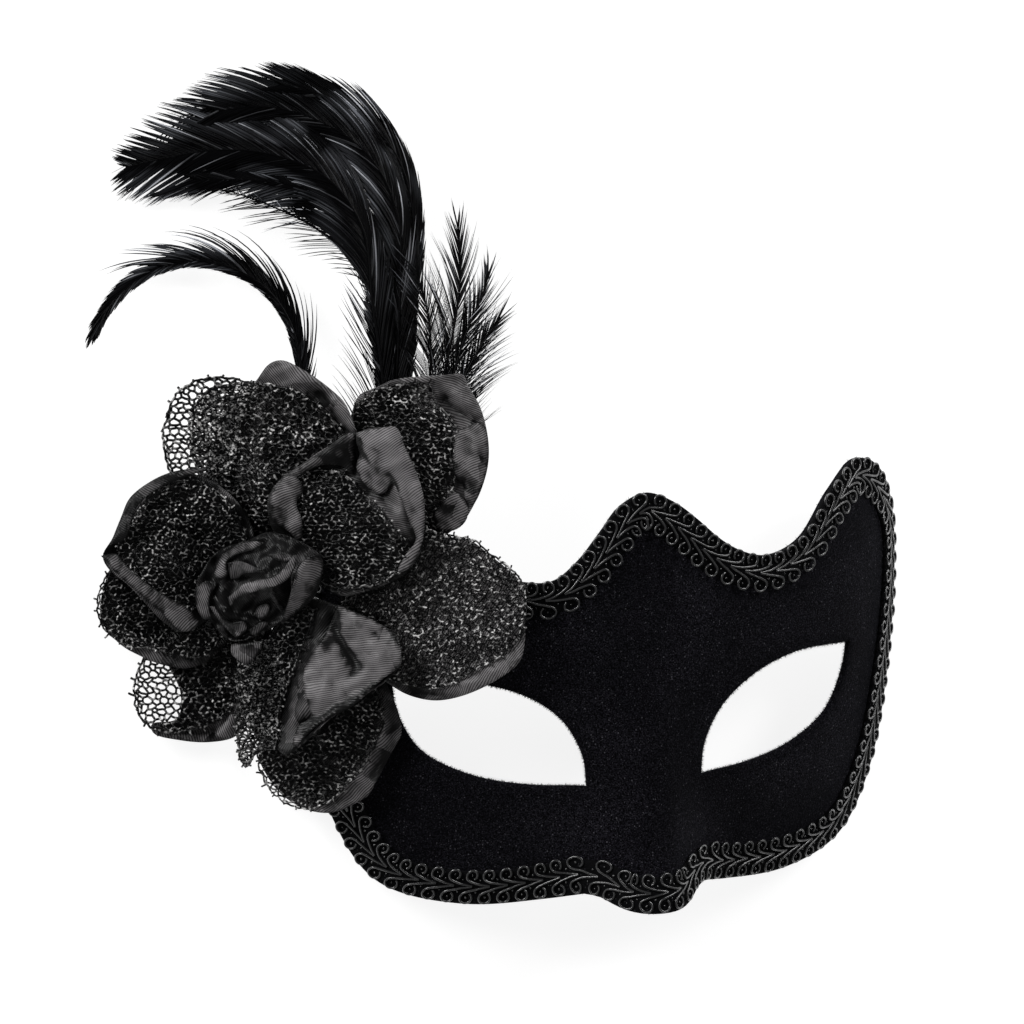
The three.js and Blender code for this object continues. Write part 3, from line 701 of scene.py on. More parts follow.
def scroll_tree(material):
    """Cord curls and knots, repeated along a line at the pitch and bent along it."""
    tree, given = new_tree("scroll_gimp", {
        "Scroll": None, "Pitch": CURL_PITCH * MM, "Spread": CURL_SPREAD / 2 * MM,
        "Cord radius": CORD_RADIUS * MM, "Knot radius": 0.42 * MM, "Wander": 0.35 * MM, "Seed": 3,
    })
    route = add_node(tree, "GeometryNodeMeshToCurve", {"Mesh": given["Geometry"]})
    run = add_node(tree, "GeometryNodeSplineParameter", output="Length")
    stops = stored(tree, even_stops(tree, route, given["Pitch"]), "stop", run)
    scroll = add_node(tree, "GeometryNodeObjectInfo", {"Object": given["Scroll"]}, output="Geometry")
    placed = add_node(tree, "GeometryNodeInstanceOnPoints", {"Points": stops, "Instance": scroll})
    lines = add_node(tree, "GeometryNodeRealizeInstances", {"Geometry": placed})
    curl = add_node(tree, "ShaderNodeSeparateXYZ", {0: named(tree, "curl", "FLOAT_VECTOR")})
    total = add_node(tree, "GeometryNodeCurveLength", {0: route})
    along = (named(tree, "stop") + curl).then("FLOORED_MODULO", total)

    def sampled(name, kind):
        return add_node(tree, "GeometryNodeSampleCurve", {
            "Curves": route, "Value": named(tree, name, kind), "Length": along,
        }, data_type=kind, mode="LENGTH", use_all_curves=True)

    share, inward = sampled("share", "FLOAT"), sampled("inward", "FLOAT_VECTOR")
    out = sampled("face_out", "FLOAT_VECTOR")
    across = (given["Spread"] - curl.also("Y")) * share
    place = inward.also("Position") + inward * across + out * curl.also("Z")
    shake = add_node(tree, "ShaderNodeTexNoise", {"Vector": place, "Scale": 350.0}, output="Color")
    place = place + (shake - (0.5, 0.5, 0.5)) * given["Wander"]
    lines = add_node(tree, "GeometryNodeSetPosition", {"Geometry": lines, "Position": place})
    cords = stored(tree, add_node(tree, "GeometryNodeMeshToCurve", {"Mesh": lines}), "cord_run", run)
    cords = tubes(tree, cords, circle_of(tree, 7, given["Cord radius"]))
    ball = add_node(tree, "GeometryNodeMeshIcoSphere", {"Radius": given["Knot radius"], "Subdivisions": 1})
    joined_to = add_node(tree, "GeometryNodeInputMeshVertexNeighbors", output="Vertex Count")
    loose = add_node(tree, "FunctionNodeCompare", {2: joined_to, 3: 0}, data_type="INT", operation="EQUAL")
    knots = add_node(tree, "GeometryNodeInstanceOnPoints", {
        "Points": lines, "Instance": ball, "Selection": loose,
        "Scale": random_share(tree, given["Seed"], 0.6, 1.15),
    })
    return close_tree(tree, material, cords, knots)


def braid_ground():
    """The woven ground as a closed band with a low ribbed top."""
    middle, inward, width, edge = braid_route()
    across = [-1, -1, -0.9, -0.5, -0.15, 0.15, 0.5, 0.85, 1, 1]
    lifts = [0, 0.9, 1.05, 0.9, 1.05, 1.05, 0.88, 1, 0.6, 0]
    rings = []
    for share, lift in zip(across, lifts):
        half = GROUND_SHARE * width / 2 if share > 0 else edge
        above = BRAID_LIFT - GROUND_SINK + lift * (GROUND_THICK + GROUND_SINK)
        rings.append(off_face(middle + inward * (half * share)[:, None], above))
    n, faces = len(middle), []
    for k in range(len(across)):
        here, there = k * n, (k + 1) % len(across) * n
        faces += [(here + i, here + (i + 1) % n, there + (i + 1) % n, there + i) for i in range(n)]
    piece = new_piece("braid_ground", np.vstack(rings), faces)
    piece.data.materials.append(ground_material())
    return faces_out(piece)


def braid_scrolls():
    """Scrolls along the braid, counted on a line under its outer curls, so that the inner ones crowd."""
    middle, inward, width, _ = braid_route()
    share = width / BRAID_WIDTH
    at = middle - inward * (CURL_SPREAD / 2 * share)[:, None]
    n = len(at)
    line = new_piece(
        "braid_line", off_face(at, BRAID_LIFT + GROUND_THICK), [], [(i, (i + 1) % n) for i in range(n)],
    )
    across = face_at(*(at + 0.5 * inward).T) - face_at(*(at - 0.5 * inward).T)
    set_vectors(line.data, "inward", turned(across))
    set_vectors(line.data, "face_out", turned(face_out(*at.T)))
    set_value(line.data, "share", share)
    scroll = scroll_source()
    piece = grown(line, scroll_tree(cord_material()), "braid_scrolls", Scroll=scroll)
    bpy.data.objects.remove(scroll)
    return piece


fit(braid_ground(), "braid", "braid_trim")
fit(braid_scrolls(), "braid", "braid_trim")


# Feathers
# Curled black cock feathers in a plume, one more that arches to the side, and straight hackles.
# Each is a quill with flat barbs on both sides, which cling together and split; they are glued in
# behind the rose, lie level and bend up along the table.
BOUQUET_CENTRE = np.array([-94, 38.9])
FEATHER_DEPTH, FEATHER_CLEAR, FEATHER_BEND = 27, 3, 4
FEATHER_LAYER = 0.55
QUILL_RADII = (0.55, 0.12)
SPINE_STEP = 2.0
BARB_STEP, SHORTEST_BARB, MOST_BARB_STEPS = 0.7, 3, 60

# Along a quill, as shares of its length: where its barbs' lengths, leans and painted sheen are given
REACH_AT, FIRST_REACH = [0, 0.22, 0.55, 1], 0.4
LEAN_AT = [0, 0.6, 1]
SHINE_AT, SHINE = [0, 0.35, 0.6, 0.85, 1], [0.04, 0.12, 1, 0.55, 0.1]

# What keeps the chance of the layers, the splits and the clumps apart
LAYERS_APART, SPLITS_APART, CLUMPS_APART = 37.7, 17.9, 91.3
LONGEST_BARB, LEVEL_RISE, SLIT_SHARPNESS = 1.06, 0.62, 10.0
BARB_TWIST, BARB_TIP = 0.9, 0.08

# Per feather: layer, middle line in the bouquet plane, then for its left and right side the length of
# its barbs towards the root, in the middle and at the tip, and how many degrees they lean off the quill
PLUME = {
    "feather_plume_back": (0, [
        [18, 16], [26, 50], [29.5, 80], [30, 102], [26, 119], [18, 129], [5, 137], [-6, 140],
    ], ((12, 48, 40), (13, 15, 20)), ((8, 26, 22), (12, 12, 14))),
    "feather_plume_high": (1, [
        [16, 16], [24, 50], [26, 80], [25.5, 104], [18, 120], [4, 130], [-11, 134], [-24, 133],
    ], ((8, 48, 38), (13, 14, 20)), ((14, 38, 26), (12, 14, 22))),
    "feather_plume_low": (2, [
        [14, 16], [20.5, 48], [19, 80], [14, 100], [4, 110], [-12, 113.5], [-30, 114],
    ], ((9, 38, 28), (30, 32, 20)), ((12, 36, 26), (15, 14, 16))),
    "feather_plume_main": (3, [
        [15, 16], [21.5, 50], [18.5, 80], [16, 100], [7, 113.5], [-8, 120.5], [-25, 122], [-49, 117.5],
    ], ((9, 42, 28), (20, 22, 26)), ((14, 44, 30), (13, 17, 32))),
}
ARCH = {
    "feather_arch": (2, [
        [-1, 24], [-1.2, 61], [-4, 74], [-10, 83], [-18, 88.5],
        [-29, 91.5], [-39, 90], [-47, 86], [-54, 79], [-58, 71.5],
    ], ((8, 9, 9), (10, 12, 9)), ((8, 12, 9), (16, 18, 9))),
}
ARCH_WISPS = {
    "feather_arch": (2.5, [
        [-1, 40], [-1.2, 61], [-4, 74], [-10, 83], [-18, 88.5], [-29, 91.5], [-39, 90],
    ], ((3, 3, 3), (20, 20, 14)), ((18, 22, 16), (20, 22, 18))),
}

# Loose down at the foot of the plume and along the hollow of its curl
DOWN = {
    "feather_plume_low": (2.5, [
        [13, 26], [20, 50], [18.5, 70], [17.5, 84],
    ], ((18, 16, 12), (30, 26, 24)), ((4, 4, 4), (20, 20, 20))),
    "feather_plume_main": (2.5, [
        [19.5, 76], [17, 86], [11.5, 94], [2, 101], [-8, 106], [-20, 110.5],
    ], ((9, 12, 8), (40, 34, 26)), ((4, 4, 4), (20, 20, 20))),
}

# Where the plume's and the arched feather's barbs end at the latest, cut along the feathers' edges
PLUME_EDGE = [
    [32, 48], [31, 70], [32, 88], [33, 100], [32, 112], [29, 124], [25, 129], [21, 135], [13, 140.5],
    [6, 143], [-6, 146], [-17, 145], [-27, 142], [-33, 138], [-43, 131], [-51.5, 124], [-54, 117],
    [-53.5, 112], [-50, 109.5], [-39, 108.5], [-28, 110.5], [-18, 109], [-6, 105], [4, 98.5],
    [12, 92.5], [17, 84], [16, 78], [18, 68], [19.5, 56], [19, 46],
]
ARCH_EDGE = [
    [3, 20], [12, 70], [4, 88], [-2, 95], [-16, 102], [-30, 102], [-54, 93], [-64, 78], [-61, 67.5],
    [-58.5, 68.5], [-54, 76.5], [-47.5, 83.5], [-40, 88], [-30, 88.5], [-19, 86], [-7.5, 76], [-3, 62],
    [-5, 20],
]
HACKLES = {
    "hackle_short": (4, [
        [30, 24], [34.5, 62], [34, 76], [30.5, 89],
    ], ((14, 16, 9), (28, 26, 22)), ((12, 14, 9), (28, 26, 22))),
    "hackle_upright": (5, [
        [32, 24], [38.5, 60], [41.7, 77], [42.8, 88.5], [42, 101.5],
    ], ((20, 20, 6), (30, 24, 9)), ((20, 20, 6), (36, 28, 10))),
    "hackle_leaning": (6, [
        [34, 24], [41, 60], [45, 73], [49, 82], [50.5, 88],
    ], ((18, 16, 6), (26, 22, 9)), ((18, 16, 5), (32, 28, 10))),
    "hackle_low": (7, [
        [36, 24], [43, 57], [48.5, 68], [53.5, 75.5],
    ], ((16, 15, 6), (24, 22, 10)), ((17, 14, 5), (32, 28, 12))),
}


def bouquet_at(x, y, depth):
    """Points that the camera sees at x, y of the bouquet plane and that stand at a depth out of it."""
    x, y, depth = np.broadcast_arrays(*(np.asarray(v, float) for v in (x, y, depth)))
    off_axis = np.stack([x, y], axis=-1) + BOUQUET_CENTRE - CAMERA_AIM
    nearer = 1 - depth / CAMERA_AWAY
    flat = np.array(CAMERA_AIM) + off_axis * nearer[..., None]
    return flat[..., :1] * view_right + flat[..., 1:] * view_up + depth[..., None] * view_out


def height_over_table(points):
    return turned(points)[..., 2] + MASK_AT[2]


def feather_depth(x, y):
    """Level, then bending up where the table comes near."""
    per_mm = turned(view_out)[2]
    over = (FEATHER_CLEAR - height_over_table(bouquet_at(x, y, FEATHER_DEPTH))) / per_mm / FEATHER_BEND
    return FEATHER_DEPTH + FEATHER_BEND * np.log1p(np.exp(np.clip(over, -20, 20)))


def feather_tree(material):
    """Barbs along quills: each leans off the quill, follows its curl and is drawn to its neighbours."""
    tree, given = new_tree("feather_barbs", {
        "Spacing": 0.42 * MM, "Barb width": 0.66 * MM, "Barb thickness": 0.1 * MM, "Barb steps": 9,
        "Clump size": 3.4 * MM, "Clump share": 0.16, "Slit share": 0.45, "Gather": 0.85,
        "Split size": 12 * MM, "Split lean": 0.16, "Uneven": 0.1, "Lift": 0.9 * MM, "Taper": 0.3, "Seed": 7,
    })
    line = add_node(tree, "GeometryNodeMeshToCurve", {"Mesh": given["Geometry"]})
    shape = even_stops(tree, line, given["Spacing"])
    run = add_node(tree, "GeometryNodeInputTangent")
    length = add_node(tree, "GeometryNodeSplineParameter", output="Length")
    side = named(tree, "lean").then("SIGN")
    chance = [random_share(tree, given["Seed"] + float(k)) for k in range(3)]

    def drift(size, sides_apart):
        """A slow wander along the quill, between -1 and 1, of its own on each side of each feather."""
        row = length / given[size] + side * sides_apart + named(tree, "layer") * LAYERS_APART
        wander = add_node(tree, "ShaderNodeTexNoise", {
            "W": row, "Scale": 1.0, "Detail": 1.0,
        }, noise_dimensions="1D")
        return wander.times_plus(2.0, -1.0)

    split = drift("Split size", SPLITS_APART)
    row = drift("Clump size", CLUMPS_APART).times_plus(1.1, length / given["Clump size"])
    in_clump = row.then("FRACT") - 0.5
    pointed = in_clump * in_clump * -4.0
    uneven = (chance[0] - 0.5) * given["Uneven"]
    slit = (in_clump * 2.0).then("ABSOLUTE").then("POWER", SLIT_SHARPNESS)
    stretch = pointed * given["Clump share"] + uneven - slit * given["Slit share"]
    reach = named(tree, "reach") * (stretch + LONGEST_BARB)
    gather = in_clump * given["Clump size"] / named(tree, "reach") * given["Gather"]
    lean = named(tree, "lean") * (split * given["Split lean"] + 1.0 + gather)
    ahead = add_node(tree, "ShaderNodeVectorRotate", {
        "Vector": run, "Axis": named(tree, "face_out", "FLOAT_VECTOR"), "Angle": lean,
    }, rotation_type="AXIS_ANGLE")
    for name, value in (
        ("root", add_node(tree, "GeometryNodeInputPosition")), ("ahead", ahead), ("barb_reach", reach),
        ("chance", chance[1]), ("rise", chance[2]),
    ):
        shape = stored(tree, shape, name, value, "FLOAT_VECTOR" if value.is_vector() else "FLOAT")
    barb = add_node(tree, "GeometryNodeCurvePrimitiveLine", {"End": (0.001, 0, 0)})
    barb = add_node(tree, "GeometryNodeResampleCurve", {"Curve": barb, "Count": given["Barb steps"]})
    placed = add_node(tree, "GeometryNodeInstanceOnPoints", {"Points": shape, "Instance": barb})
    barbs = add_node(tree, "GeometryNodeRealizeInstances", {"Geometry": placed})

    # Each barb sets out, turns with its quill's curl and rises a little
    share = add_node(tree, "GeometryNodeSplineParameter", output="Factor")
    out, forward = named(tree, "face_out", "FLOAT_VECTOR"), named(tree, "ahead", "FLOAT_VECTOR")
    gone = share * named(tree, "barb_reach")
    turn = gone * named(tree, "bend")
    square = turn * turn
    on = gone * square.times_plus(-1 / 6, 1.0)
    aside = gone * (turn * 0.5) * square.times_plus(-1 / 12, 1.0)
    upward = (named(tree, "rise") - LEVEL_RISE) * given["Lift"] * share
    place = named(tree, "root", "FLOAT_VECTOR")
    place = place + forward * on + out.then("CROSS_PRODUCT", forward) * aside + out * upward
    barbs = add_node(tree, "GeometryNodeSetPosition", {"Geometry": barbs, "Position": place})
    barbs = add_node(tree, "GeometryNodeSetCurveNormal", {"Curve": barbs, "Normal": out}, mode="FREE")
    tilt = named(tree, "chance").times_plus(BARB_TWIST, -BARB_TWIST / 2)
    barbs = add_node(tree, "GeometryNodeSetCurveTilt", {"Curve": barbs, "Tilt": tilt})
    barbs = stored(tree, barbs, "barb_share", share)
    size = add_node(tree, "ShaderNodeCombineXYZ", {
        0: given["Barb thickness"], 1: given["Barb width"], 2: 1.0,
    })
    section = add_node(tree, "GeometryNodeTransform", {"Geometry": circle_of(tree, 3, 0.5), "Scale": size})
    taper = (share * -1.0 + 1.0) / given["Taper"]
    ribbons = tubes(tree, barbs, section, taper.then("MINIMUM", 1.0).then("MAXIMUM", BARB_TIP))
    single = add_node(tree, "GeometryNodeSeparateGeometry", {
        "Geometry": line, "Selection": named(tree, "lean").then("GREATER_THAN", 0.0),
    }, domain="CURVE")
    quills = tubes(tree, single, circle_of(tree, 7, 1.0), named(tree, "quill"))
    return close_tree(tree, material, ribbons, quills)


def feather_material():
    barbs, tree, shader = new_material("black_barbs", Roughness=0.36, Specular_IOR_Level=0.09)
    # Painted sheen: blue-grey streaks on a share of the barbs, in soft clouds, where the quill's painted
    # shine is and away from the quill, and rare brighter painted glints on single barbs
    chance = attribute(tree, "chance")
    sheen_streak = spread(tree, chance, 0.6, 1.0)
    glint = spread(tree, chance, 0.935, 0.945)
    sheen_cloud = spread(tree, noise(tree, object_place(tree), 45.0, 1.0), 0.46, 0.68)
    off_quill = spread(tree, attribute(tree, "barb_share"), 0.2, 0.6)
    lit = attribute(tree, "shine") * off_quill
    amount = sheen_streak.times_plus(0.88, 0.12) * (sheen_cloud * lit)
    colour = mix_colour(tree, amount, (0.0006, 0.0006, 0.001, 1), (0.52, 0.545, 0.61, 1))
    colour = mix_colour(tree, glint * lit.times_plus(0.85, 0.05), colour, (0.8, 0.82, 0.88, 1))
    tree.links.new(colour.socket, shader.inputs["Base Color"])
    return barbs


def rounded(outline, spacing):
    """A closed outline, smoothed."""
    return smooth_line(outline + outline[:1], spacing)[:-1]


def barb_lengths(flat, heading, reach, lean, bend, edge):
    """How long each barb is: its own reach, or less where it would grow past the edge."""
    if edge is None:
        return reach
    outline = rounded(edge, 1.0)
    place, turn = flat.copy(), heading + lean
    length, growing = np.zeros(len(flat)), np.ones(len(flat), bool)
    for _ in range(MOST_BARB_STEPS):
        place = place + BARB_STEP * np.stack([np.cos(turn), np.sin(turn)], axis=1)
        turn = turn + BARB_STEP * bend
        growing &= inside(place, outline) | (length < SHORTEST_BARB)
        growing &= length < reach
        length += BARB_STEP * growing
    return length


def quill_lines(feathers, edge=None, painted_sheen=1.0):
    """Both sides' source lines of some feathers, with what the barbs need to know at each point."""
    points, edges, facts = [], [], []
    for layer, line, *sides in feathers.values():
        flat = smooth_line(line, SPINE_STEP)
        n = len(flat)
        share = np.linspace(0, 1, n)
        run = np.gradient(flat, axis=0)
        heading = np.unwrap(np.arctan2(run[:, 1], run[:, 0]))
        x, y = flat.T
        slope_x = feather_depth(x + 0.5, y) - feather_depth(x - 0.5, y)
        slope_y = feather_depth(x, y + 0.5) - feather_depth(x, y - 0.5)
        out = view_out - slope_x[:, None] * view_right - slope_y[:, None] * view_up
        out = turned(out / np.linalg.norm(out, axis=1)[:, None])
        place = laid_down(bouquet_at(x, y, feather_depth(x, y) + FEATHER_LAYER * layer))
        for sign, (reaches, leans) in zip((1, -1), sides):
            reach = np.interp(share, REACH_AT, [reaches[0] * FIRST_REACH, *reaches])
            on = np.minimum(share + reach / SPINE_STEP / n, 1)
            way = np.maximum((on - share) * n * SPINE_STEP, SPINE_STEP)
            bend = (np.interp(on, share, heading) - heading) / way
            bend = np.where(on - share < 4 / n, np.interp(1 - 6 / n, share, bend), bend)
            lean = sign * np.radians(np.interp(share, LEAN_AT, leans))
            edges += [(len(points) + k, len(points) + k + 1) for k in range(n - 1)]
            points += list(place)
            facts.append({
                "reach": barb_lengths(flat, heading, reach, lean, bend, edge) * MM,
                "lean": lean,
                "bend": bend / MM,
                "layer": np.full(n, float(layer)),
                "quill": np.interp(share, [0, 1], QUILL_RADII) * MM,
                # shine: how strongly the barbs are painted with sheen along the quill
                "shine": painted_sheen * np.interp(share, SHINE_AT, SHINE),
                "face_out": out,
            })
    piece = new_piece("quills", points, [], edges)
    for key in facts[0]:
        keep = set_vectors if key == "face_out" else set_value
        keep(piece.data, key, np.concatenate([fact[key] for fact in facts]))
    return piece


barb_tree = feather_tree(feather_material())


def feather_piece(name, feathers, edge=None, painted_sheen=1.0, **sizes):
    """Some feathers as one piece, in place of their construction nodes."""
    return fit(grown(quill_lines(feathers, edge, painted_sheen), barb_tree, name, **sizes), "feather", *feathers)


feather_piece("cock_plume", PLUME, PLUME_EDGE)
# The arched feather gets less painted sheen
feather_piece(
    "cock_feather_arched", ARCH, ARCH_EDGE, 0.3,
    **{"Slit share": 0.2, "Clump share": 0.1, "Split lean": 0.08},
)
feather_piece(
    "cock_feather_wisps", ARCH_WISPS, ARCH_EDGE,
    **{"Spacing": 0.6 * MM, "Barb width": 0.42 * MM, "Split lean": 0.4, "Uneven": 0.8, "Lift": 2.0 * MM},
)
feather_piece(
    "hackle_feathers", HACKLES,
    **{"Barb width": 0.21 * MM, "Split lean": 0.7, "Uneven": 0.8, "Lift": 4.0 * MM},
)
feather_piece(
    "plume_down", DOWN,
    **{
        "Spacing": 0.9 * MM, "Barb width": 0.28 * MM, "Split lean": 0.6, "Uneven": 0.6,
        "Clump size": 6 * MM, "Gather": 1.2,
    },
)


# Rose petals
# Nine petals of black taffeta, a ribbed shiny cloth, each crumpled by hand and gathered under the bud.
# They overlap from the outside in and are glued on the mask and on each other; their edges curl up.
CLOTH_STEP = 1.0
CLOTH_THICK = 0.35
CLOTH_GAP = 0.6
CLOTH_SMOOTHING = 6
RIM_CURL, RIM_CURL_WIDTH = 0.9, 3.0
FOLD_STEP = 0.6
FOLD_CROWN, FOLD_CROWN_WIDTH = 0.45, 1.0
FOLD_SHARPNESS, FOLD_END, FOLD_FADE = 1.15, 0.25, 5
# Folded-over parts: how they sit and drop onto what is below, and how fast their painted light fades to shade
# at their edges
TURNED_SEAT, TURNED_DROP, TURNED_FADE = 3, 5, 0.3
RIB_PITCH, THREAD_PITCH = 0.6, 0.3
RIB_DRIFT = 0.25
PETAL_SEED = 11

# Waves of a crumple, as shares of its size, and how much they sway; then the crumples that lie on each other,
# in the shape or as painted shade: how high or how dark, how large, and what sets their chance apart
CRUMPLE_WAVES, CRUMPLE_HEIGHT, CRUMPLE_SWAY, CRUMPLE_SWAYS = (1.0, 1.0, 0.75, 0.6, 0.45), 1.6, 0.9, 0.7
PETAL_CRUMPLES = ((0.9, 4.5, 0), (0.35, 1.7, 20))
TURNED_CRUMPLES = ((0.8, 3.2, 0), (0.25, 1.2, 7))
TURNED_SHADES = ((0.6, 3.2, 0), (0.3, 1.2, 7))

# Per petal, from the lowest up: direction of its ribs in degrees, its outline in the bouquet plane, and
# its folds: height (below 0 for a valley), width to its left and right, and line
PETALS = {
    "petal_top_right": (70, [
        [13.5, 52], [15, 54.5], [19.5, 56.5], [24, 58.5], [31, 59.5], [38.5, 60], [43.5, 60], [45, 57],
        [48.5, 50.5], [50.5, 42], [50.5, 35.5], [49, 29.5], [46.5, 24], [44, 20], [37, 14.5], [26, 9],
        [16.5, 11.5], [11, 22.5], [9.5, 36.5],
    ], [
        (-2.2, 1.6, 2.6, [[37.5, 55], [40.5, 51], [45.5, 48], [48, 44]]),
        (1.2, 1.5, 3.0, [[40, 58], [44, 52], [47, 45], [48, 36]]),
        (-1.5, 1.2, 2.5, [[42, 33], [45.5, 29], [47.5, 24.5]]),
        (1.0, 2.0, 2.0, [[30, 59], [33, 52], [36, 44]]),
    ]),
    "petal_bottom_right": (-50, [
        [-11.5, -41.5], [-13, -45], [-10.5, -51], [-6.5, -56], [0, -60], [7, -61], [13.5, -58.5], [17.5, -56],
        [19.5, -52.5], [24, -44], [26.5, -39], [26, -34.5], [23.5, -27.5], [20.5, -21.5], [12.5, -14.5],
        [2.5, -16], [-4, -27],
    ], [
        (-1.5, 2.0, 1.2, [[25, -36], [22, -45], [18, -52]]),
        (1.2, 2.0, 2.0, [[22, -28], [21, -38], [15, -50], [8, -56]]),
        (-1.0, 1.5, 1.5, [[-2, -58], [4, -52], [8, -42]]),
    ]),
    "petal_bottom_left": (20, [
        [-39.5, -15], [-38, -20], [-34.5, -28], [-35.5, -35], [-42.5, -36.5], [-42, -39], [-34.5, -41],
        [-26.5, -41.5], [-19.5, -40], [-16, -36], [-12, -27], [-8.5, -16], [-11, -7.5], [-21, -6.5],
        [-32, -10.5],
    ], [
        (1.6, 1.2, 2.4, [[-24.5, -40], [-21, -36], [-18, -28]]),
        (-1.8, 1.5, 1.5, [[-36, -37.5], [-29, -38.5], [-24, -38]]),
        (1.0, 2.0, 2.0, [[-36, -22], [-28, -26], [-20, -24]]),
    ]),
    "petal_right": (-35, [
        [34, 17], [41, 15], [46, 14], [50.5, 10.5], [55, 7], [60, 2], [60.5, -3.5], [60.5, -14.5],
        [59, -19.5], [52.5, -24.5], [44, -28.5], [36, -30], [28.5, -28.5], [22.5, -25], [15, -19],
        [8, -10.5], [9.5, -2], [18, 6], [26, 13],
    ], [
        (1.5, 2.0, 3.0, [[56, -20], [49, -24], [41, -27]]),
        (-1.6, 1.5, 1.5, [[40, -28.5], [33, -28], [27, -26]]),
        (1.0, 2.5, 2.5, [[30, 10], [42, 6], [54, 2]]),
        (-1.0, 2.0, 2.0, [[24, -4], [38, -8], [54, -10]]),
    ]),
    "petal_left_low": (30, [
        [-54.5, 5.5], [-56.5, -2], [-56.5, -7.5], [-54.5, -11], [-50.5, -15], [-46, -17.5], [-40, -20],
        [-32, -21], [-25, -17.5], [-19.5, -9], [-22, 0.5], [-32, 6], [-43, 9], [-51, 9.5],
    ], [
        (-1.5, 1.5, 1.5, [[-52, -8], [-44, -11], [-34, -12]]),
        (1.2, 2.0, 2.0, [[-53, -1], [-44, -5], [-34, -7]]),
    ]),
    "petal_top_left": (40, [
        [-13.5, 58.5], [-10, 63], [-6.5, 64], [0, 61], [7, 56], [11, 52], [13.5, 46], [14.5, 43], [9.5, 33.5],
        [2.5, 24], [-4, 14.5], [-12, 9], [-19.5, 9], [-26, 20], [-27.5, 34], [-24, 44], [-20, 53],
    ], [
        (1.4, 2.0, 3.0, [[-12, 59], [-6, 61.5], [1, 58], [8, 51]]),
        (-2.4, 1.5, 2.2, [[2, 56.5], [6, 52], [9, 46], [12, 43]]),
        (1.2, 1.4, 1.4, [[7.5, 55], [11, 50], [13, 45]]),
        (1.2, 2.5, 2.5, [[-22, 46], [-14, 38], [-8, 28]]),
        (-1.4, 2.0, 2.0, [[-20, 36], [-8, 46], [4, 44]]),
    ]),
    "petal_left_high": (-30, [
        [-37, 33], [-42, 28.5], [-47, 25.5], [-50.5, 20.5], [-53.5, 14.5], [-56, 10], [-54.5, 6.5],
        [-48.5, 1.5], [-43, -4.5], [-39, -8.5], [-34, -11], [-29, -9], [-22, -2], [-15.5, 6], [-14, 14.5],
        [-18, 24], [-27.5, 31.5],
    ], [
        (-2.6, 2.0, 2.0, [[-55.5, 10], [-52.5, 9.5], [-50, 11]]),
        (1.8, 1.4, 2.6, [[-52.5, 6.5], [-46, 0.5], [-40, -5.5], [-33, -9.5]]),
        (-1.6, 1.2, 1.2, [[-49, 7], [-43, 1], [-37, -4], [-31, -6]]),
        (1.2, 1.5, 2.5, [[-51, 16], [-46, 22], [-39, 28], [-35, 31]]),
        (-1.5, 2.5, 2.5, [[-46, 16], [-36, 16], [-26, 20]]),
    ]),
    "petal_inner_high": (78, [
        [-1.5, 35], [5, 39.5], [13.5, 43.5], [17, 45], [24, 45], [26.5, 39.5], [29, 32], [32.5, 24.5],
        [33, 17], [31.5, 10.5], [29, 6.5], [26, 4], [18, 0.5], [9.5, -1], [2.5, 3.5], [-4, 10], [-9, 17],
        [-10.5, 25.5], [-7, 31],
    ], [
        (-3.2, 1.2, 3.0, [[14, 44], [14.5, 38], [16, 34], [21, 30.5], [22.5, 25.5]]),
        (2.2, 2.0, 2.6, [[19, 44], [20, 38], [24.5, 31], [26.5, 24], [27.5, 16]]),
        (-2.2, 1.2, 1.6, [[26.5, 37], [28.5, 29], [31, 22], [31.5, 14]]),
        (1.6, 1.5, 2.5, [[17.5, 27], [22, 22], [26, 16]]),
        (2.2, 1.6, 2.4, [[-5, 31], [3, 36.5], [12, 41.5]]),
        (-2.4, 1.5, 1.5, [[-1, 32], [6, 34.5], [13, 36]]),
        (1.8, 2.5, 2.0, [[-8.5, 28], [-8.5, 20], [-5.5, 13]]),
        (-2.0, 1.5, 1.5, [[-4.5, 28], [-4, 20], [-1, 12]]),
    ]),
    "petal_inner_low": (-40, [
        [4, -2], [8.5, -3.5], [12.5, -5], [20, -8.5], [25, -12.5], [26.5, -17.5], [23.5, -23.5], [15, -29.5],
        [7, -35], [-5.5, -45], [-9, -42], [-14, -39.5], [-16, -32], [-12.5, -19], [-8, -8], [-3, -2],
    ], [
        (-2.8, 1.0, 1.8, [[7, -5], [10.5, -12], [14.5, -19], [12, -22.5]]),
        (2.4, 4.0, 3.0, [[3, -13], [4.5, -21], [1, -29], [-3, -37]]),
        (1.8, 2.0, 3.0, [[13, -8], [18, -14], [20, -20]]),
        (-2.6, 1.4, 1.4, [[24, -21], [15, -27], [6, -32.5], [-2, -39]]),
        (1.6, 1.0, 1.4, [[24.5, -23.5], [15, -30], [6, -36], [-5, -44]]),
        (-3.0, 1.5, 3.0, [[1, -6], [-3, -16], [-6, -28], [-7, -38]]),
    ]),
}
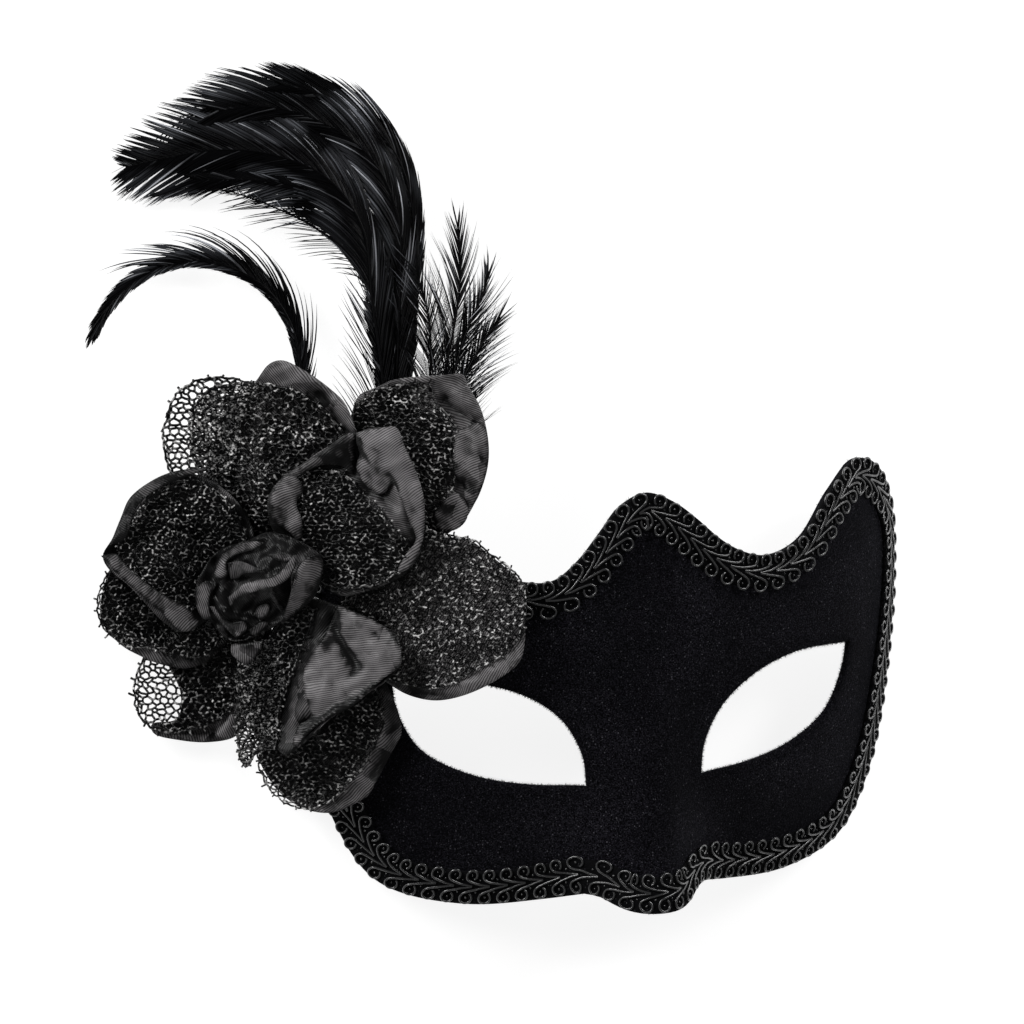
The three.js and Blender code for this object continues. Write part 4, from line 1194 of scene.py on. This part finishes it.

# Parts of a petal that are folded over and painted lighter, as if they catch the light: how bright their
# painted light is, direction of the ribs, outline, and creases
TURNED = {
    "petal_top_right": [
        (0.6, -60, [[38, 25], [41.5, 27.5], [44.5, 24.5], [44.5, 20], [41, 17], [36.5, 17.5], [35.5, 21]]),
        (0.62, -65, [
            [41.5, 43.5], [44, 45.5], [48.5, 46.5], [50.5, 40], [49.5, 31], [46, 24], [44, 26], [43.5, 29.5],
            [41, 32.5], [41, 38.5],
        ]),
    ],
    "petal_left_high": [
        (0.65, -45, [
            [-56.5, 10], [-51, 4], [-40.5, -5], [-33.5, -11], [-29.5, -9], [-32, -5], [-40.5, 0], [-48.5, 6],
            [-52.5, 10.5],
        ]),
        (0.15, 60, [
            [-54, 13], [-51, 20.5], [-48.5, 26], [-42, 31], [-35.5, 33.5], [-27, 34], [-34.5, 31.3],
            [-42.3, 27.6], [-47.3, 22.3], [-50, 14.5],
        ]),
    ],
    "petal_inner_high": [
        (0.3, -55, [
            [-2, 34.5], [4, 38.5], [13, 44], [13.5, 39], [13, 32.5], [10.5, 34.5], [4.5, 35], [-1, 33],
        ]),
        (0.85, -60, [
            [14, 44], [19.5, 45], [25, 45.5], [27.5, 40], [30.5, 33.5], [32.5, 27], [33, 20], [32, 13],
            [28.5, 6.5], [25.5, 5.5], [27.5, 10], [30.5, 14.5], [28.5, 20], [26.5, 25.5], [24, 30],
            [21.5, 27], [18.5, 28], [15.5, 31], [14, 35], [15, 38], [14, 41.5],
        ], [
            (-2.0, 0.5, 0.7, [[14.5, 43.5], [15.5, 39], [18, 35]]),
            (-1.8, 0.8, 1.6, [[22, 34], [24, 31], [25, 26]]),
            (1.0, 1.5, 1.5, [[20, 42], [24, 37], [28, 31], [31, 22]]),
        ]),
        (0.6, -70, [
            [-10, 25.5], [-7.5, 30], [-3.5, 32.5], [-0.5, 28], [-2.5, 24.5], [-1, 20], [-1.5, 14],
            [-5, 17], [-9, 20],
        ]),
    ],
    "petal_inner_low": [
        (0.5, 0, [
            [-20.5, -14.5], [-18, -14], [-12, -14.5], [-13, -17], [-16, -20], [-19, -18.5], [-20.5, -17],
        ]),
        (0.85, 97, [
            [9, -3.5], [13, -5.5], [17, -7], [21.5, -9.3], [24.8, -11.5], [25.6, -12.5], [26.6, -19],
            [26.3, -20.3], [21.5, -24], [13, -31.5], [6, -35], [2, -38], [-3.5, -43], [-2, -37],
            [1.5, -34.5], [0, -29], [-0.5, -22.5], [1, -18.5], [4, -14], [6.5, -9.5],
        ], [
            (-2.4, 0.9, 1.3, [[8.5, -4], [8.5, -10], [12, -17], [15, -21], [11.5, -23.5]]),
            (-2.0, 0.5, 0.8, [[22, -23], [13, -30], [6, -33.5], [2.5, -36], [-1, -39.5]]),
            (1.4, 2.0, 2.5, [[3, -18], [6, -24], [4, -31]]),
            (1.2, 1.5, 1.5, [[14, -10], [19, -15], [21, -21]]),
            (-1.2, 0.6, 1.0, [[18, -10], [21, -13], [24, -14]]),
        ]),
    ],
}

# Painted light and shade on the cloth: bare, on folds and creases, in its net's shadow, in the hollows, and
# per petal where it differs
BARE_LIGHT, FOLD_LIGHT, CREASE_LIGHT = 0.36, 0.2, 0.58
NET_MARGIN, UNDER_NET_SHARE, UNDER_NET_LESS = 0.8, 0.35, 0.08
HOLLOW_SHADE = 0.6
BARE_LIGHTS = {"petal_inner_high": 0.1, "petal_inner_low": 0.1, "petal_left_high": 0.12}
UNDER_NET_MORE = {"petal_right": 0.56, "petal_top_left": 0.16, "petal_top_right": 0.06}

# The bud's outline, which the petals sink towards
BUD_OUTLINE = [
    [-30.5, 0.5], [-29.5, 4], [-24, 11.5], [-16.5, 14], [-10, 16.5], [-1.5, 14], [4.5, 9.5], [4.5, 4],
    [2, -2], [-5.5, -7.5], [-13, -12], [-20.5, -13.5], [-26.5, -7.5],
]
BUD_HOLLOW, BUD_HOLLOW_WIDTH = 2.0, 5
# How far the painted shade reaches from the bud's edge and from the edges of the petals above
BUD_HOLLOW_FADE, PETAL_HOLLOW_FADE = 4.5, 2.2

# What is piled up so far over the bouquet plane, as depths on a grid, so that nothing passes through it
PILE_LOW, PILE_STEP, PILE_CELLS, PILE_FLOOR = -80.0, 1.0, 161, -40.0
pile = np.full((PILE_CELLS, PILE_CELLS), PILE_FLOOR)


def pile_depth(x, y):
    """Depth of what is piled up under points of the bouquet plane."""
    i, j = (np.clip((v - PILE_LOW) / PILE_STEP, 0, PILE_CELLS - 1.01) for v in (x, y))
    low_i, low_j = i.astype(int), j.astype(int)
    i, j = i - low_i, j - low_j
    near = (1 - i) * pile[low_i, low_j] + i * pile[low_i + 1, low_j]
    far = (1 - i) * pile[low_i, low_j + 1] + i * pile[low_i + 1, low_j + 1]
    return (1 - j) * near + j * far


def pile_up(x, y, depth):
    i, j = (np.round((v - PILE_LOW) / PILE_STEP).astype(int) for v in (x, y))
    for step_i in (-1, 0, 1):
        for step_j in (-1, 0, 1):
            np.maximum.at(pile, (i + step_i, j + step_j), depth)


def bouquet_place(piece):
    """Where a construction node's points are seen in the bouquet plane, and how far out of it they stand."""
    points = np.array([piece.matrix_world @ vertex.co for vertex in piece.data.vertices]) / MM - MASK_AT
    away = points @ turned(view_out)
    flat = np.stack([points @ turned(view_right), points @ turned(view_up)], axis=1)
    flat = (flat - CAMERA_AIM) / (1 - away / CAMERA_AWAY)[:, None] + CAMERA_AIM - BOUQUET_CENTRE
    return np.column_stack([flat, away])


def node_depth(name, x, y):
    """Depth of a construction node, smoothed, also past its edge."""
    known = bouquet_place(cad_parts[name])
    gap = (x[:, None] - known[:, 0]) ** 2 + (y[:, None] - known[:, 1]) ** 2
    weight = 1 / (gap + CLOTH_SMOOTHING) ** 2
    return (weight * known[:, 2]).sum(axis=1) / weight.sum(axis=1)


def fold_field(flat, folds):
    """Rise and fall of the cloth along its folds, dying out at their ends."""
    total = np.zeros(len(flat))
    for height, left_width, right_width, line in folds:
        line = smooth_line(line, FOLD_STEP)
        run = np.gradient(line, axis=0)
        reach = flat[:, None] - line[None]
        gap = np.linalg.norm(reach, axis=2)
        nearest = gap.argmin(axis=1)
        rows = np.arange(len(flat))
        away, ahead = reach[rows, nearest], run[nearest]
        on_left = ahead[:, 0] * away[:, 1] - ahead[:, 1] * away[:, 0] > 0
        width = np.where(on_left, left_width, right_width)
        share = nearest / (len(line) - 1)
        fade = np.clip(FOLD_FADE * np.minimum(share, 1 - share) + FOLD_END, 0, 1)
        total += height * fade * np.exp(-((gap[rows, nearest] / width) ** FOLD_SHARPNESS))
    return total


def cloth_axes(flat, turn):
    """Flat points measured across and along a direction."""
    across = flat @ [math.cos(turn), math.sin(turn)]
    along = flat @ [-math.sin(turn), math.cos(turn)]
    return across, along


def crumple(flat, size, seed):
    """Creased waves about 1 high, as of cloth crushed in the hand."""
    chance = np.random.default_rng(seed)
    total = np.zeros(len(flat))
    for wave in CRUMPLE_WAVES:
        turn, phase, sway = chance.uniform(0, 2 * math.pi, 3)
        across, along = (measure / (wave * size) for measure in cloth_axes(flat, turn))
        swayed = across + phase + CRUMPLE_SWAY * np.sin(CRUMPLE_SWAYS * along + sway)
        total += wave * (0.5 - np.abs(np.sin(swayed)))
    return total / CRUMPLE_HEIGHT


def crumples(flat, seed, waves):
    return sum(height * crumple(flat, size, seed + apart) for height, size, apart in waves)


def cloth_shape(outline, depth_of, light_of, ribs, step=CLOTH_STEP):
    """A closed thin sheet over an outline: its points, faces and cloth coordinates with painted light."""
    loop = rounded(outline, step)
    flat, faces = filled([loop], step)
    skin = np.vstack([flat, loop])
    depth, light = depth_of(skin), light_of(skin)
    pile_up(*skin.T, depth)
    top = laid_down(bouquet_at(*skin.T, depth), floor=CLOTH_THICK * MM)
    under = laid_down(bouquet_at(*skin.T, depth - CLOTH_THICK))
    count, rim, n = len(skin), len(flat), len(loop)
    closed = [tuple(face) for face in faces] + [tuple(face[::-1] + count) for face in faces]
    closed += [(rim + k, rim + (k + 1) % n, count + rim + (k + 1) % n, count + rim + k) for k in range(n)]
    across, along = cloth_axes(skin, math.radians(ribs))
    # Third cloth value: the painted light and shade, stored with the rib coordinates
    cloth = np.column_stack([across + RIB_DRIFT * depth, along, light])
    return np.vstack([top, under]), closed, np.vstack([cloth, cloth])


def cloth_piece(name, shapes):
    """One piece of taffeta from the sheets of cloth it is folded into."""
    start, faces = 0, []
    for points, closed, _ in shapes:
        faces += [tuple(corner + start for corner in face) for face in closed]
        start += len(points)
    piece = new_piece(name, np.vstack([shape[0] for shape in shapes]), faces)
    set_vectors(piece.data, "cloth", np.vstack([shape[2] for shape in shapes]))
    piece.data.materials.append(TAFFETA)
    return faces_out(piece)


def folded_over(seed, step, fade, light, ribs, outline, creases=()):
    """A part of the cloth that is folded over and lies flat and crisp on what is below it."""
    edge_line = rounded(outline, FOLD_STEP)

    def depth_of(skin):
        below = pile_depth(*skin.T)
        on_cloth = below > np.median(below) - TURNED_DROP
        plane = np.column_stack([skin, np.ones(len(skin))])
        fitted = plane @ np.linalg.lstsq(plane[on_cloth], below[on_cloth], rcond=None)[0]
        fitted = np.clip(fitted, below[on_cloth].min(), below[on_cloth].max() + 1)
        edge = nearest_gap(skin, edge_line)
        crown = FOLD_CROWN * (1 - np.exp(-edge / FOLD_CROWN_WIDTH)) + fold_field(skin, creases)
        crown += crumples(skin, seed, TURNED_CRUMPLES)
        over, under = TURNED_SEAT * (fitted + crown), TURNED_SEAT * (below + 0.5 * CLOTH_GAP)
        return np.logaddexp(over, under) / TURNED_SEAT

    def light_of(skin):
        # Painted light and shade: crumpled patches, darker towards the part's edge, and lighter or darker
        # creases
        shade = 1 + crumples(skin, seed, TURNED_SHADES)
        shade *= 1 - np.exp(-nearest_gap(skin, edge_line) / fade)
        return light * shade + CREASE_LIGHT * fold_field(skin, creases)

    return cloth_shape(outline, depth_of, light_of, ribs, step)


def taffeta_material():
    taffeta, tree, shader = new_material(
        "taffeta", Roughness=0.42, Specular_IOR_Level=0.3, Sheen_Weight=0.1, Sheen_Roughness=0.4,
    )
    cloth = attribute(tree, "cloth", "Vector")
    across = add_node(tree, "ShaderNodeSeparateXYZ", {0: cloth})
    along, light = across.also("Y"), across.also("Z")
    wavy = noise(tree, cloth, 0.12, 1.0)
    ribs = (wavy.times_plus(2.0, across) * (2 * math.pi / RIB_PITCH)).then("SINE")
    threads = (along * (2 * math.pi / THREAD_PITCH)).then("SINE")
    # Painted light and shade: the cloth's light value, with crushed facets and soft patches of painted light
    # and shade, times the ribs, sets how pale the cloth is painted
    shade_patches = noise(tree, cloth, 0.35, 3.0)
    bent = cloth + shade_patches.also("Color") * 3.0
    facets = add_node(tree, "ShaderNodeTexVoronoi", {"Vector": bent, "Scale": 0.15}, output="Color")
    facet = add_node(tree, "ShaderNodeSeparateColor", {0: facets})
    facet_shade = shade_patches * 0.5 + facet * 0.4
    light = (light + (facet_shade - 0.45)).times_plus(1.3, -0.12)
    ribbed = threads.times_plus(0.3, ribs.times_plus(0.9, 1.0))
    amount = add_node(tree, "ShaderNodeClamp", {0: light * ribbed})
    colour = mix_colour(tree, amount, (0.0008, 0.0008, 0.001, 1), (0.23, 0.219, 0.225, 1))
    tree.links.new(colour.socket, shader.inputs["Base Color"])
    add_relief(tree, shader, ribs, 0.35, 0.1 * MM)
    return taffeta


TAFFETA = taffeta_material()


# Open net
# Black knotted net, cut like the petals and laid loosely over them; at the top left and the bottom left
# it reaches past them. Its glossy cord is kinked, and small loose ends stick out all round its edge.
NET_CELL, NET_SHAKE, NET_WIDE = 1.8, 0.36, 1.3
WIDE_CELLS = {"net_top_left": 2.1, "net_bottom_left": 2.1}
NET_LIFT, NET_OVER_PETAL, NET_DROP, NET_FLOOR = 0.55, 0.8, 4, 0.3
PICOT_PITCH, PICOT_REACH, PICOT_UNEVEN, PICOT_ASIDE = 2, 1.0, (0.3, 1.3), 0.4

# Per petal: the net's outline in the bouquet plane
NETS = {
    "net_top_right": [
        [14, 51.5], [16.5, 54], [21, 56], [27, 57.5], [34, 57.5], [36, 52], [41, 47], [41, 35.5], [41, 30.5],
        [37, 23], [33.5, 15.5], [26, 10], [17, 13], [12, 23], [10.5, 36],
    ],
    "net_bottom_right": [
        [-13, -43], [-12.5, -49.5], [-9, -55.5], [-3, -59.5], [3, -59.5], [9, -56], [14, -50.5], [19, -42.5],
        [21.5, -35], [20, -28], [17, -22], [12, -16], [3, -18], [-4, -28],
    ],
    "net_bottom_left": [
        [-44, -16.5], [-47, -24], [-47, -31], [-43.5, -37], [-35, -38.5], [-27, -37], [-22, -34], [-18, -26],
        [-13, -18], [-12, -10], [-21, -8], [-32, -12],
    ],
    "net_right": [
        [34, 17], [41, 15.5], [46, 14.5], [50.5, 11], [55.5, 7.5], [60, 2.5], [61, -3], [60, -11], [55, -17],
        [47.5, -21], [38.5, -26], [30, -26], [23.5, -24], [15, -18], [9, -10], [11, -2], [19, 5.5], [27, 12],
    ],
    "net_left_low": [
        [-55, 5], [-57.5, -2], [-57, -8], [-54, -12], [-49, -15], [-43, -15.5], [-36, -17], [-28, -18],
        [-23, -12], [-22, -3], [-31, 4], [-43, 8],
    ],
    "net_top_left": [
        [-14.5, 57.5], [-20.5, 59], [-26.5, 59], [-32, 57.5], [-35.5, 55], [-37.5, 51], [-39, 45.5],
        [-39, 39.5], [-37.5, 33.5], [-33, 25.5], [-25, 17], [-16.5, 12], [-5.5, 20], [1.5, 25.5], [7.5, 33.5],
        [11, 42], [8, 47], [3.5, 51.5], [-4, 56], [-10, 57],
    ],
    "net_left_high": [
        [-35.5, 31], [-40, 27.5], [-45, 24], [-48, 19], [-51.5, 13], [-52, 9], [-47, 5], [-41, -1], [-37, -5],
        [-32, -5.5], [-25, 0.5], [-18, 7.5], [-16.5, 15.5], [-22, 25.5], [-29, 30.5],
    ],
    "net_inner_high": [
        [-3, 31.5], [0, 33], [6, 33.5], [12, 31.5], [16, 27], [21, 22.5], [25, 17], [30, 10.5], [27, 6.5],
        [20, 2.5], [9.5, 1], [2.5, 4.5], [-1.5, 10], [-2.5, 18], [-4, 26],
    ],
    "net_inner_low": [
        [-6.5, -8], [-13, -17.5], [-19, -32.5], [-18.5, -40.5], [-17, -48], [-13, -43.5], [-9, -43],
        [-7.5, -34], [-4.5, -24], [-0.5, -14], [2, -5], [-2, -4],
    ],
}

# How brightly each net's painted highlights shine, and the radius of its cord, where they aren't as usual
USUAL_SHINE, USUAL_CORD = 0.9, 0.26
NET_SHINE = {
    "net_right": 1.3, "net_inner_low": 0.6, "net_left_high": 0.8, "net_left_low": 0.8,
    "net_inner_high": 0.8,
}
NET_THICK = {"net_top_left": 0.36, "net_bottom_left": 0.33}
# Strength of the nets' painted highlights, how much painted shade dims them in the hollows, the least they
# keep, and crumpled patches that make them stronger and weaker
NET_BRIGHT, HOLLOW_DIM, LEAST_SHINE = 1.5, 0.85, 0.05
NET_SHADES = ((0.7, 4.5, 0), (0.4, 2.2, 3))

# Where a net lies double, and its closer cells there
NET_DOUBLED_CELL, NET_DOUBLED_SEED = 1.1, 50
NET_DOUBLED = {
    "net_top_left": [
        [-13, 57], [-19, 57.5], [-25, 56.5], [-29, 53.5], [-31, 49], [-31.5, 43], [-31, 37], [-29, 32],
        [-24, 28], [-20, 36], [-18, 46], [-14, 54],
    ],
    "net_inner_low": [
        [-15, -14], [-19, -22], [-18.5, -30], [-19, -38], [-18.5, -43], [-17, -48.5], [-13.5, -44.5],
        [-9, -42], [-7.5, -34], [-6, -24], [-8, -14],
    ],
}


def net_source(outline, cell, seed):
    """Cords between the middles of neighbouring triangles, a cord round the edge and its loose ends."""
    loop = rounded(outline, cell)
    flat, faces = filled([loop * [1, NET_WIDE]], cell, NET_SHAKE, seed)
    flat = flat / [1, NET_WIDE]
    middles = flat[faces].mean(axis=1)
    sides = {}
    for number, face in enumerate(faces):
        for a, b in zip(face, np.roll(face, -1)):
            sides.setdefault((min(a, b), max(a, b)), []).append(number)
    points, edges = list(middles), []
    for (a, b), owners in sides.items():
        if len(owners) == 2:
            edges.append(tuple(owners))
        else:
            edges.append((owners[0], len(points)))
            points.append((flat[a] + flat[b]) / 2)
    start = len(points)
    points += list(loop)
    edges += [(start + k, start + (k + 1) % len(loop)) for k in range(len(loop))]
    outward = side_step(loop, -1) - loop
    if inside(loop[:1] + 0.05 * outward[:1], loop)[0]:
        outward = -outward
    chance = np.random.default_rng(seed)
    for k in range(0, len(loop), PICOT_PITCH):
        edges.append((start + k, len(points)))
        reach = PICOT_REACH * chance.uniform(*PICOT_UNEVEN)
        points.append(loop[k] + outward[k] * reach + chance.uniform(-PICOT_ASIDE, PICOT_ASIDE, 2))
    return np.array(points), edges


def net_material():
    net, tree, shader = new_material("net_cord", Roughness=0.28, Specular_IOR_Level=0.25)
    # Painted highlights: glint dots and dashes on a share of the cords and on the knots, as strong as the
    # net's painted shine
    sparkle = spread(tree, noise(tree, object_place(tree), 950.0, 1.0), 0.5, 0.62, 0.0, 0.5)
    bright = sparkle + flecks_of(tree, 1.15, 0.5)
    picked = spread(tree, attribute(tree, "chance"), 0.2, 0.7)
    amount = bright * picked * attribute(tree, "shine") * NET_BRIGHT
    amount = add_node(tree, "ShaderNodeClamp", {0: amount})
    colour = mix_colour(tree, amount, (0.0012, 0.0012, 0.0015, 1), (0.9, 0.89, 0.88, 1))
    tree.links.new(colour.socket, shader.inputs["Base Color"])
    return net


def net_tree(material):
    """Kinked cords along the source lines, with knots where they meet."""
    tree, given = new_tree("knotted_net", {
        "Step": 0.45 * MM, "Cord radius": 0.22 * MM, "Kink": 0.8 * MM, "Kinks per metre": 480.0,
        "Knot radius": 0.33 * MM, "Knot share": 0.2, "Seed": 5,
    })
    lines = add_node(tree, "GeometryNodeMeshToCurve", {"Mesh": given["Geometry"]})
    lines = even_stops(tree, lines, given["Step"])
    lines = stored(tree, lines, "chance", random_share(tree, given["Seed"]), domain="CURVE")
    shake = add_node(tree, "ShaderNodeTexNoise", {
        "Scale": given["Kinks per metre"], "Detail": 1.0,
    }, output="Color")
    kink = (shake - (0.5, 0.5, 0.5)) * 2.0 * given["Kink"]
    lines = add_node(tree, "GeometryNodeSetPosition", {"Geometry": lines, "Offset": kink})
    cords = tubes(tree, lines, circle_of(tree, 4, given["Cord radius"]))
    ball = add_node(tree, "GeometryNodeMeshIcoSphere", {"Radius": given["Knot radius"], "Subdivisions": 1})
    picked = add_node(tree, "FunctionNodeRandomValue", {
        "Probability": given["Knot share"], "Seed": given["Seed"],
    }, output=3, data_type="BOOLEAN")
    shaken = add_node(tree, "GeometryNodeSetPosition", {"Geometry": given["Geometry"], "Offset": kink})
    knots = add_node(tree, "GeometryNodeInstanceOnPoints", {
        "Points": shaken, "Selection": picked, "Instance": ball,
    })
    knots = add_node(tree, "GeometryNodeRealizeInstances", {"Geometry": knots})
    # Knots always get the painted highlights
    knots = stored(tree, knots, "chance", 0.8)
    return close_tree(tree, material, cords, knots)


knotted = net_tree(net_material())


def outline_gap(points, outline):
    """Distance of flat points outside a closed outline, 0 inside it."""
    loop = rounded(outline, 1.0)
    return np.where(inside(points, loop), 0, nearest_gap(points, loop))


def hollow(points, name):
    """How far points of a petal or its net lie in painted shade, under the bud's edge and the petals over it,
    up to 1.
    """
    names = list(PETALS)
    deep = np.exp(-outline_gap(points, BUD_OUTLINE) / BUD_HOLLOW_FADE)
    for later in names[names.index(name) + 1:]:
        deep = np.maximum(deep, np.exp(-outline_gap(points, PETALS[later][1]) / PETAL_HOLLOW_FADE))
    return deep


def petal_cloth(name, ribs, outline, folds, seed):
    """A petal, which follows its construction node and stays above what lies below."""
    loop = rounded(outline, 1.0)
    net = rounded(NETS[name.replace("petal", "net")], 1.0)

    def depth_of(skin):
        depth = node_depth(name, *skin.T) + fold_field(skin, folds) + crumples(skin, seed, PETAL_CRUMPLES)
        depth += RIM_CURL * np.exp(-nearest_gap(skin, loop) / RIM_CURL_WIDTH)
        depth -= BUD_HOLLOW * np.exp(-outline_gap(skin, BUD_OUTLINE) / BUD_HOLLOW_WIDTH)
        return np.logaddexp(depth, pile_depth(*skin.T) + CLOTH_GAP)

    def light_of(skin):
        """Painted light and shade: brighter on raised folds, dark in valleys, in the net's shadow and in the
        hollows.
        """
        light = BARE_LIGHTS.get(name, BARE_LIGHT) + FOLD_LIGHT * fold_field(skin, folds)
        under_net = inside(skin, net) & (nearest_gap(skin, net) > NET_MARGIN)
        under_net_shade = UNDER_NET_SHARE * light - UNDER_NET_LESS + UNDER_NET_MORE.get(name, 0)
        return np.where(under_net, under_net_shade, light) - HOLLOW_SHADE * hollow(skin, name)

    cloth = cloth_piece(name.replace("petal", "taffeta"), [cloth_shape(outline, depth_of, light_of, ribs)])
    return fit(cloth, "taffeta", name)


def petal_net(name, seed):
    """The net over a petal. It lies on what is piled up there, and follows the petal's node past it."""
    net_name = name.replace("petal", "net")
    points, edges = net_source(NETS[net_name], WIDE_CELLS.get(net_name, NET_CELL), seed)
    if net_name in NET_DOUBLED:
        more, joins = net_source(NET_DOUBLED[net_name], NET_DOUBLED_CELL, seed + NET_DOUBLED_SEED)
        edges += [(a + len(points), b + len(points)) for a, b in joins]
        points = np.vstack([points, more])
    over = pile_depth(*points.T)
    own = node_depth(name, *points.T) + NET_OVER_PETAL
    depth = np.where(over > own - NET_DROP, over, own) + NET_LIFT
    pile_up(*points.T, depth)
    source = new_piece("net_lines", laid_down(bouquet_at(*points.T, depth), floor=NET_FLOOR * MM), [], edges)
    # Painted highlight strength: in crumpled patches, and dimmed by painted shade in the hollows
    shine = NET_SHINE.get(net_name, USUAL_SHINE) * (1 + crumples(points, seed, NET_SHADES))
    shine *= 1 - HOLLOW_DIM * hollow(points, name)
    set_value(source.data, "shine", np.maximum(shine, LEAST_SHINE))
    radius = NET_THICK.get(net_name, USUAL_CORD) * MM
    net = grown(source, knotted, net_name.replace("net", "open_net"), Seed=seed, **{"Cord radius": radius})
    return fit(net, "net", net_name)


def petal_piece(name, ribs, outline, folds, seed):
    """A petal, its net, and the parts of the petal that are folded over the net."""
    cloth = petal_cloth(name, ribs, outline, folds, seed)
    upper = [petal_net(name, seed)]
    if name in TURNED:
        shapes = []
        for part_seed, part in enumerate(TURNED[name], start=seed):
            shapes.append(folded_over(part_seed, CLOTH_STEP, TURNED_FADE, *part))
        upper.append(fit(cloth_piece(name.replace("petal", "turned"), shapes), "taffeta", name))
    loop = rounded(outline, 1.0)


for seed, (petal, (ribs, outline, folds)) in enumerate(PETALS.items(), start=PETAL_SEED):
    petal_piece(petal, ribs, outline, folds, seed)


# Rose bud
# A strip of the same taffeta, crushed and rolled up into a ball, which hides where the petals are sewn.
# Its folds stand up sharp, with deep gaps between them, and one leaf-shaped end is laid over at the right.
BUD_STEP, BUD_RIBS = 0.6, 35
BUD_SEAT, BUD_DOME, BUD_DOME_WIDTH = 7, 5.0, 19.0
BUD_MIDDLE = np.array([-12.5, 2])
# Painted light on the bud: the ball dark as in shade, its raised folds lighter
BUD_LIGHT, BUD_FOLD_LIGHT = 0.04, 0.1
# How fast the folds' painted light fades to shade at their edges, and their first seed
BUD_FADE, BUD_SEED = 0.65, 40

# The bud's crumples and its patches of painted shade: how high or dark, how large, and what sets their chance
# apart
BUD_CRUMPLES, BUD_SHADES = ((0.9, 2.4, 0),), ((0.12, 2.0, 0),)
BUD_CRUMPLE_SEED, BUD_SHADE_SEED = 4, 12

# Its deep gaps: height (below 0 for a valley), width to its left and right, and line
BUD_FOLDS = [
    (-2.2, 1.5, 1.5, [[-24, 6], [-18, 4.6], [-11, 4.8], [-6.5, 8]]),
    (-2.2, 1.4, 1.4, [[-25.5, 1], [-22, -4.5], [-17, -5.6], [-13, -1]]),
    (-2.4, 1.3, 1.3, [[-11, -8.5], [-7, -6], [-4.5, -1], [-4.4, 4.5]]),
]

# Its folds, from the lowest up: how bright their painted light is, direction of the ribs, outline
BUD_TURNED = [
    (0.75, 20, [
        [-30, 1.5], [-27.5, 3], [-24.5, 2.5], [-26, -0.5], [-26.5, -4], [-26, -7], [-28, -7.5], [-30, -4.5],
        [-30.5, -1],
    ]),
    (0.6, -30, [
        [-26.5, -4], [-24.5, -7], [-21.5, -10.5], [-19, -12.5], [-16, -10], [-17, -8], [-20, -8.5],
        [-23.5, -6.5], [-25, -4],
    ]),
    (0.6, -20, [[-15.5, -10.5], [-11.5, -8], [-10, -8.5], [-11.5, -10.5], [-14.5, -12]]),
    (0.75, 60, [
        [-26, 4.5], [-24.5, 8], [-22.5, 11], [-19, 13], [-14, 14], [-11.5, 13.5], [-13.5, 12], [-17, 11],
        [-19.5, 10], [-21.5, 8.5], [-21.5, 4.5], [-24, 3.5],
    ]),
    (0.45, 10, [
        [-21.5, 8], [-18, 8.5], [-14, 7], [-11, 6], [-13.5, 5.5], [-17, 5], [-19, 3.5], [-20.5, 3.5],
    ]),
    (0.7, 30, [[-10.5, 10.5], [-7, 11], [-4, 10.5], [-3.5, 9], [-6.5, 8.5], [-9.5, 9.5]]),
    (1.0, 15, [[-14.5, -6.5], [-13, -4], [-10, -3.5], [-10, -5.5], [-12, -7.5]]),
    (0.55, 70, [[-10, -0.5], [-9, 0], [-7, -3], [-5.5, -4.5], [-6.5, -5.5], [-8.5, -3]]),
    (1.15, 25, [
        [-21.5, -1.5], [-17.5, 2], [-13.5, 3.5], [-9.5, 4], [-6.5, 6], [-4.5, 8.5], [-3, 10.5], [-2.5, 8.5],
        [-4, 4.5], [-7, 2], [-11.5, 0.5], [-16, -0.5], [-19, -2], [-20.5, -4],
    ]),
    (0.6, 75, [[-4, -0.5], [-3.5, 5.5], [-1, 8.5], [-0.5, 8], [-1.5, 3.5], [-3, -1]]),
    (1.1, 60, [
        [-6.8, -8.8], [-5.2, -4], [-3.6, 1.5], [-2, 6.5], [0, 9.2], [2.5, 10.2], [4.5, 8.5], [4.5, 5],
        [3.2, 1], [0, -3], [-3.5, -6.5],
    ]),
]


def bud_piece():
    """A crushed ball, painted dark as if in shade, and the folds that stand up from it."""
    def depth_of(skin):
        from_middle = np.linalg.norm(skin - BUD_MIDDLE, axis=1)
        dome = BUD_DOME * (1 - (from_middle / BUD_DOME_WIDTH) ** 2)
        base = node_depth("rose_bud", *skin.T) - BUD_SEAT + dome
        depth = base + fold_field(skin, BUD_FOLDS) + crumples(skin, BUD_CRUMPLE_SEED, BUD_CRUMPLES)
        return np.logaddexp(depth, pile_depth(*skin.T) + CLOTH_GAP)

    def light_of(skin):
        # Painted light and shade: dark in the ball, lighter on raised folds, with patches of painted shade
        light = BUD_LIGHT + BUD_FOLD_LIGHT * fold_field(skin, BUD_FOLDS)
        return light + crumples(skin, BUD_SHADE_SEED, BUD_SHADES)

    shapes = [cloth_shape(BUD_OUTLINE, depth_of, light_of, BUD_RIBS, BUD_STEP)]
    for seed, part in enumerate(BUD_TURNED, start=BUD_SEED):
        shapes.append(folded_over(seed, BUD_STEP, BUD_FADE, *part))
    return cloth_piece("taffeta_bud", shapes)


bud = fit(bud_piece(), "taffeta", "rose_bud")
